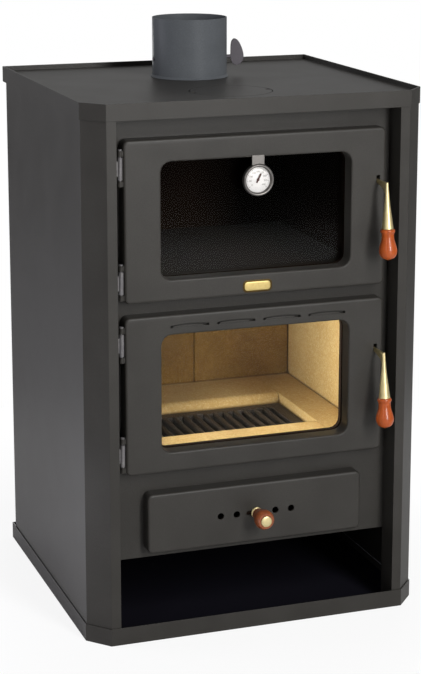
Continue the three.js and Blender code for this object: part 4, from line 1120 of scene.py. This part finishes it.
@dataclass
class DoorSeal:
    """The braided rope that a door presses on the front plate."""

    name: str
    body: Body
    low: float
    high: float
    half_width: float = 200.0
    corner: float = 17.0
    radius: float = 4.9
    depth: float = -230.3
    strands: int = 3
    ripple: float = 0.35  # how far the strands stand out
    twist: float = 0.9  # radians that they wind on at each step
    step: float = 3.0
    sides: int = 16

    def route(self) -> list[Pair]:
        """Plans the rope's middle line.

        Returns:
            Places along it, in steps of about equal length.
        """
        path = filleted(oblong(self.half_width, self.low, self.high), self.corner, steps=8)
        made: list[Pair] = []
        for (x, z), (to_x, to_z) in zip(path, path[1:] + path[:1]):
            count = max(1, round(math.dist((x, z), (to_x, to_z)) / self.step))
            made += [(x + (to_x - x) * i / count, z + (to_z - z) * i / count) for i in range(count)]
        return made

    def build(self) -> None:
        """Lays the rope round the mouth, with its strands wound about each other."""
        route = self.route()
        rings = []
        for at, (x, z) in enumerate(route):
            along = (Vector(route[(at + 1) % len(route)]) - Vector(route[at - 1])).normalized()
            outward = Vector((along.y, -along.x))
            ring = []
            for side in range(self.sides):
                angle = 2 * math.pi * side / self.sides
                ripple = self.ripple * math.cos(self.strands * angle + at * self.twist)
                r = self.radius - self.ripple + ripple
                flat = outward * math.cos(angle) * r
                ring.append((x + flat.x, self.depth + math.sin(angle) * r, z + flat.y))
            rings.append(ring)
        draft = Draft().skin(rings, loop=True)
        draft.piece(f"{self.name}_rope", ROPE, self.body, f"{self.name}_seal", sharp=80)


@dataclass
class Grate:
    """The cast grate in the fire floor: a frame with rounded bars that run to the back."""

    half_width: float = 158.0
    front: float = -118.0
    back: float = 53.0
    under: float = 265.3
    top: float = 278.3
    border: float = 21.0
    rounding: float = 1.5
    corner: float = 4.0
    bars: int = 14
    pitch: float = 18.9
    bar_half: float = 4.4
    # The section of a bar, in shares of its half width and of its height
    bar: Sequence[Pair] = (
        (-0.75, 0.0), (0.75, 0.0), (1.0, 0.7), (0.87, 0.86), (0.5, 0.97),
        (0.0, 1.0), (-0.5, 0.97), (-0.87, 0.86), (-1.0, 0.7),
    )

    def build(self) -> None:
        """Makes the grate."""
        inner, soft, low = self.border, self.rounding, self.top - self.rounding
        section = [(0.0, self.under), (0.0, low), (soft, self.top)]
        section += [(inner - soft, self.top), (inner, low), (inner, self.under)]
        rings = []
        for inset, z in section:
            sharp = oblong(self.half_width - inset, self.front + inset, self.back - inset)
            rings.append([(x, y, z) for x, y in filleted(sharp, self.corner, steps=3)])
        draft = Draft().skin(rings, loop=True)
        high = self.top - self.under
        for bar in range(self.bars):
            middle = (bar - (self.bars - 1) / 2) * self.pitch
            draft.skin([
                [(middle + x * self.bar_half, y, self.under + z * high) for x, z in self.bar]
                for y in (self.back - inner + 1.0, self.front + inner - 1.0)
            ])
        draft.piece("cast_grate", IRON, Body.STOVE, "grate")


@dataclass
class Louvres:
    """The tongues pressed inward behind the four air slots over the fire window."""

    count: int = 4
    middle: float = 3.5
    pitch: float = 79.0
    foot: float = 518.0
    half_length: float = 32.5
    left_gap: float = 4.5
    right_gap: float = 10.0
    ends: float = 4.0
    arch: float = 2.0
    drop: float = 2.4
    steps: int = 10
    behind: Pair = (3.0, 1.0)  # how far behind the door's face their back and front lie

    def build(self) -> None:
        """Makes the tongues, which leave the slots open along the top and at the ends."""
        first, last = self.left_gap - self.half_length, self.half_length - self.right_gap
        upper = []
        for step in range(self.steps + 1):
            x = first + (last - first) * step / self.steps
            rise = self.ends + self.arch * (1 - (x / self.half_length) ** 2) - self.drop
            upper.append((x, rise))
        outline = [(first - 1.0, -0.5), (last + 1.5, -0.5), *reversed(upper)]
        draft = Draft()
        for slot in range(self.count):
            middle = self.middle + (slot - (self.count - 1) / 2) * self.pitch
            draft.skin([
                [(middle + x, DOOR_FACE + behind, self.foot + z) for x, z in outline]
                for behind in self.behind
            ])
        draft.piece("air_slot_tongues", PAINT, Body.FIRE_DOOR)


@dataclass
class CutEdge:
    """A pale strip on the right side sheet's lower edge: the log bay's thin bright line, as painted
    highlight.
    """

    inside: float = 286.6
    front: float = -170.7
    back: float = 210.5
    low: float = 15.6
    high: float = 16.8
    thick: float = 0.6

    def build(self) -> None:
        """Makes the pale strip of painted highlight."""
        near, far, low, high = self.inside - self.thick, self.inside, self.low, self.high
        rings = []
        for y in (self.back, self.front):
            rings.append([(near, y, low), (far, y, low), (far, y, high), (near, y, high)])
        Draft().skin(rings).piece("casing_edge_highlight", EDGE_HIGHLIGHT_STEEL, Body.STOVE)


@dataclass
class Badge:
    """The bare brass plate under the oven door's window."""

    place: Matrix = field(default_factory=lambda: facing((0.0, DOOR_FACE, 576.5)))
    half_width: float = 25.0
    half_height: float = 10.0
    corner: float = 7.0
    # How far inside the outline each ring lies, and how far in front of the door
    rim: Sequence[Pair] = ((0.0, 0.3), (0.0, 0.8), (2.8, 1.1), (2.8, 0.3))
    dome: Sequence[Pair] = ((2.8, 0.3), (2.8, 1.1), (3.4, 1.4), (4.6, 1.5))

    def rings(self, levels: Sequence[Pair]) -> list[list[Triple]]:
        """The outline at each level.

        Args:
            levels: How far each ring lies inside the outline, and its height.

        Returns:
            The rings, in the same order.
        """
        made = []
        for inset, height in levels:
            high = self.half_height - inset
            sharp = oblong(self.half_width - inset, -high, high)
            soft = filleted(sharp, self.corner - inset / 2, steps=6)
            made.append([(x, y, height) for x, y in soft])
        return made

    def build(self) -> None:
        """Makes the dark brown rim and the bright, slightly domed field inside it."""
        rim = Draft(self.place).skin(self.rings(self.rim), loop=True)
        rim.piece("badge_rim", BROWN_BRASS, Body.OVEN_DOOR, sharp=30)
        plate = Draft(self.place).skin(self.rings(self.dome))
        plate.piece("badge", SATIN_BRASS, Body.OVEN_DOOR, "badge_plate", sharp=60)


# Studio

COOL, WARM = "#F4F4FF", "#FFFCF4"


@dataclass(frozen=True)
class Lamp:
    """One soft lamp, seen from what it points at."""

    name: str
    azimuth: float  # degrees to the right of the stove's front
    height: float  # degrees above the floor
    light: float  # how bright it makes a white surface that faces it
    size: Pair
    distance: float = 3.2
    target: Triple = (0.0, -0.15, 0.5)
    colour: str = "#FFFFFF"
    spread: float = 180.0  # degrees of its cone

    def hang(self) -> None:
        """Hangs the lamp, pointed at its target and unseen by the camera."""
        light = bpy.data.lights.new(self.name, "AREA")
        light.shape = "RECTANGLE"
        light.size, light.size_y = self.size
        light.energy = self.light * (math.pi * self.distance) ** 2
        light.color = linear(self.colour)[:3]
        light.spread = math.radians(self.spread)
        made = placed(self.name, light)
        azimuth, height = math.radians(self.azimuth), math.radians(self.height)
        level = math.cos(height)
        away = Vector((math.sin(azimuth) * level, -math.cos(azimuth) * level, math.sin(height)))
        made.location = Vector(self.target) + away * self.distance
        made.rotation_euler = (-away).to_track_quat("-Z", "Y").to_euler()
        made.visible_camera = False


@dataclass
class Studio:
    """A pale floor, a white room and soft lamps. The sizes are in metres."""

    room_light: float = 0.065
    room_mirrored: float = 0.46  # how far gloss shows the room, past the dark end behind the lamps
    floor_reach: float = 9.0
    floor_shown: float = 0.87  # how far the floor shows plain white near the stove
    floor_near: float = 0.5  # from the middle of the stove
    floor_far: float = 1.1  # past this, all of it shows plain white
    # The rear and right lamps stand in the stove's own shade, so that no light of theirs passes it
    lamps: Sequence[Lamp] = (
        Lamp("front_lamp", 12.0, 15.0, 0.55, (0.6, 1.2)),
        Lamp("high_lamp", 12.0, 35.0, 0.44, (0.7, 1.2)),
        Lamp("left_lamp", -45.0, 20.0, 0.09, (0.6, 1.4), colour="#F8FAFF"),
        Lamp("side_lamp", -112.0, 9.0, 0.4, (1.2, 1.8), 3.2, (0.0, 0.0, 0.35), COOL),
        Lamp("low_side_lamp", -90.0, 8.0, 0.5, (0.7, 0.12), 0.35, (-0.29, 0.0, 0.08), COOL),
        Lamp("rear_side_lamp", -130.0, 15.0, 0.08, (1.2, 1.8), 3.2, (0.0, 0.0, 0.5), "#F8F8FF"),
        Lamp("rear_lamp", 180.0, 0.0, 0.6, (0.5, 0.8), 0.9, (0.0, 0.27, 0.45)),
        Lamp("right_lamp", 142.0, 0.0, 0.8, (0.4, 0.6), 1.0, (0.29, 0.0, 0.32)),
        Lamp("fire_floor_lamp", -113.3, 16.3, 0.15, (0.06, 0.1), 0.3, (0.064, -0.299, 0.356), WARM),
        Lamp(
            "fire_corner_lamp", -93.8, 41.3, 0.22, (0.06, 0.2), 0.3,
            (0.275, -0.195, 0.282), WARM, 120.0,
        ),
        Lamp(
            "fire_wall_lamp", -86.0, -18.0, 1.2, (0.07, 0.12), 0.3,
            (0.085, -0.147, 0.477), WARM, 120.0,
        ),
    )

    def floor(self) -> None:
        """Lays the floor, which shows white and keeps the stove's shadow."""
        mesh = bpy.data.meshes.new("floor")
        reach = self.floor_reach
        corners = [(x, y, 0.0) for x, y in oblong(reach, -reach, reach)]
        mesh.from_pydata(corners, [], [(0, 1, 2, 3)])
        material = bpy.data.materials.new("Pale studio floor")
        tree = cleared(material)
        ray = add(tree, "ShaderNodeLightPath")
        place = add(tree, "ShaderNodeTexCoord").outputs["Object"]
        away = add(tree, "ShaderNodeVectorMath", {0: place}, operation="LENGTH")
        shown = add(tree, "ShaderNodeMapRange", {
            "Value": away.outputs["Value"], "From Min": self.floor_near,
            "From Max": self.floor_far, "To Min": self.floor_shown, "To Max": 1.0,
        })
        share = add(tree, "ShaderNodeMath", {
            0: ray.outputs["Is Camera Ray"], 1: shown,
        }, operation="MULTIPLY")
        pale = add(tree, "ShaderNodeBsdfDiffuse", {"Color": linear("#FFFFFF")})
        white = add(tree, "ShaderNodeEmission", {"Color": linear("#FFFFFF"), "Strength": 1.0})
        both = add(tree, "ShaderNodeMixShader", {0: share, 1: pale, 2: white})
        add(tree, "ShaderNodeOutputMaterial", {"Surface": both})
        mesh.materials.append(material)
        made = placed("floor", mesh)

    def room(self) -> None:
        """Sets the room's light, and white for what the camera and shiny surfaces see of it."""
        world = bpy.data.worlds.new("Studio")
        tree = cleared(world)
        ray = add(tree, "ShaderNodeLightPath")
        seen = add(tree, "ShaderNodeMath", {
            0: ray.outputs["Is Camera Ray"], 1: ray.outputs["Is Transmission Ray"],
        }, operation="MAXIMUM")
        mirrored = add(tree, "ShaderNodeMath", {
            0: ray.outputs["Is Glossy Ray"], 1: self.room_mirrored,
        }, operation="MULTIPLY")
        either = add(tree, "ShaderNodeMath", {0: seen, 1: mirrored}, operation="MAXIMUM")
        strength = add(tree, "ShaderNodeMapRange", {
            "Value": either, "To Min": self.room_light, "To Max": 1.0,
        })
        back = add(tree, "ShaderNodeBackground", {
            "Color": linear("#FFFFFF"), "Strength": strength,
        })
        add(tree, "ShaderNodeOutputWorld", {"Surface": back})
        bpy.context.scene.world = world

    def build(self) -> None:
        """Builds the studio."""
        self.floor()
        self.room()
        for lamp in self.lamps:
            lamp.hang()
        bpy.context.scene.view_settings.view_transform = "Standard"


@dataclass
class PhotoCamera:
    """The camera at the photograph's viewing angle."""

    eye: Triple = (-1071.6, -3064.2, 1285.8)
    yaw: float = 19.406
    pitch: float = 11.776
    focal_pixels: float = 1916.6
    rise_pixels: float = 101.0

    def build(self) -> None:
        """Makes the camera and gives it to the scene."""
        camera = bpy.data.cameras.new("camera")
        camera.sensor_width = SENSOR
        camera.lens = self.focal_pixels * SENSOR / PHOTO_HEIGHT
        camera.shift_y = -self.rise_pixels / PHOTO_HEIGHT
        made = placed("camera", camera)
        made.location = Vector(self.eye) * MM
        made.rotation_euler = (math.radians(90 - self.pitch), 0.0, math.radians(-self.yaw))
        bpy.context.scene.camera = made


def main() -> None:
    """Builds the scene."""
    logging.basicConfig(level=logging.INFO, format="%(name)s: %(message)s")
    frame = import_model()
    Solids(frame).dress()
    doors = (("oven", Body.OVEN_HANDLE, 735.0), ("fire", Body.FIRE_HANDLE, 450.7))
    for name, body, height in doors:
        handle = LiftHandle(name, body, (210.0, -241.0, height))
        handle.lever()
        handle.grip()
    Thermometer().build()
    AirKnob().build()
    DoorSeal("oven_door", Body.OVEN_DOOR, 576.0, 810.0).build()
    DoorSeal("fire_door", Body.FIRE_DOOR, 291.7, 525.7).build()
    Badge().build()
    Grate().build()
    Louvres().build()
    CutEdge().build()
    Studio().build()
    PhotoCamera().build()


if __name__ == "__main__":
    main()
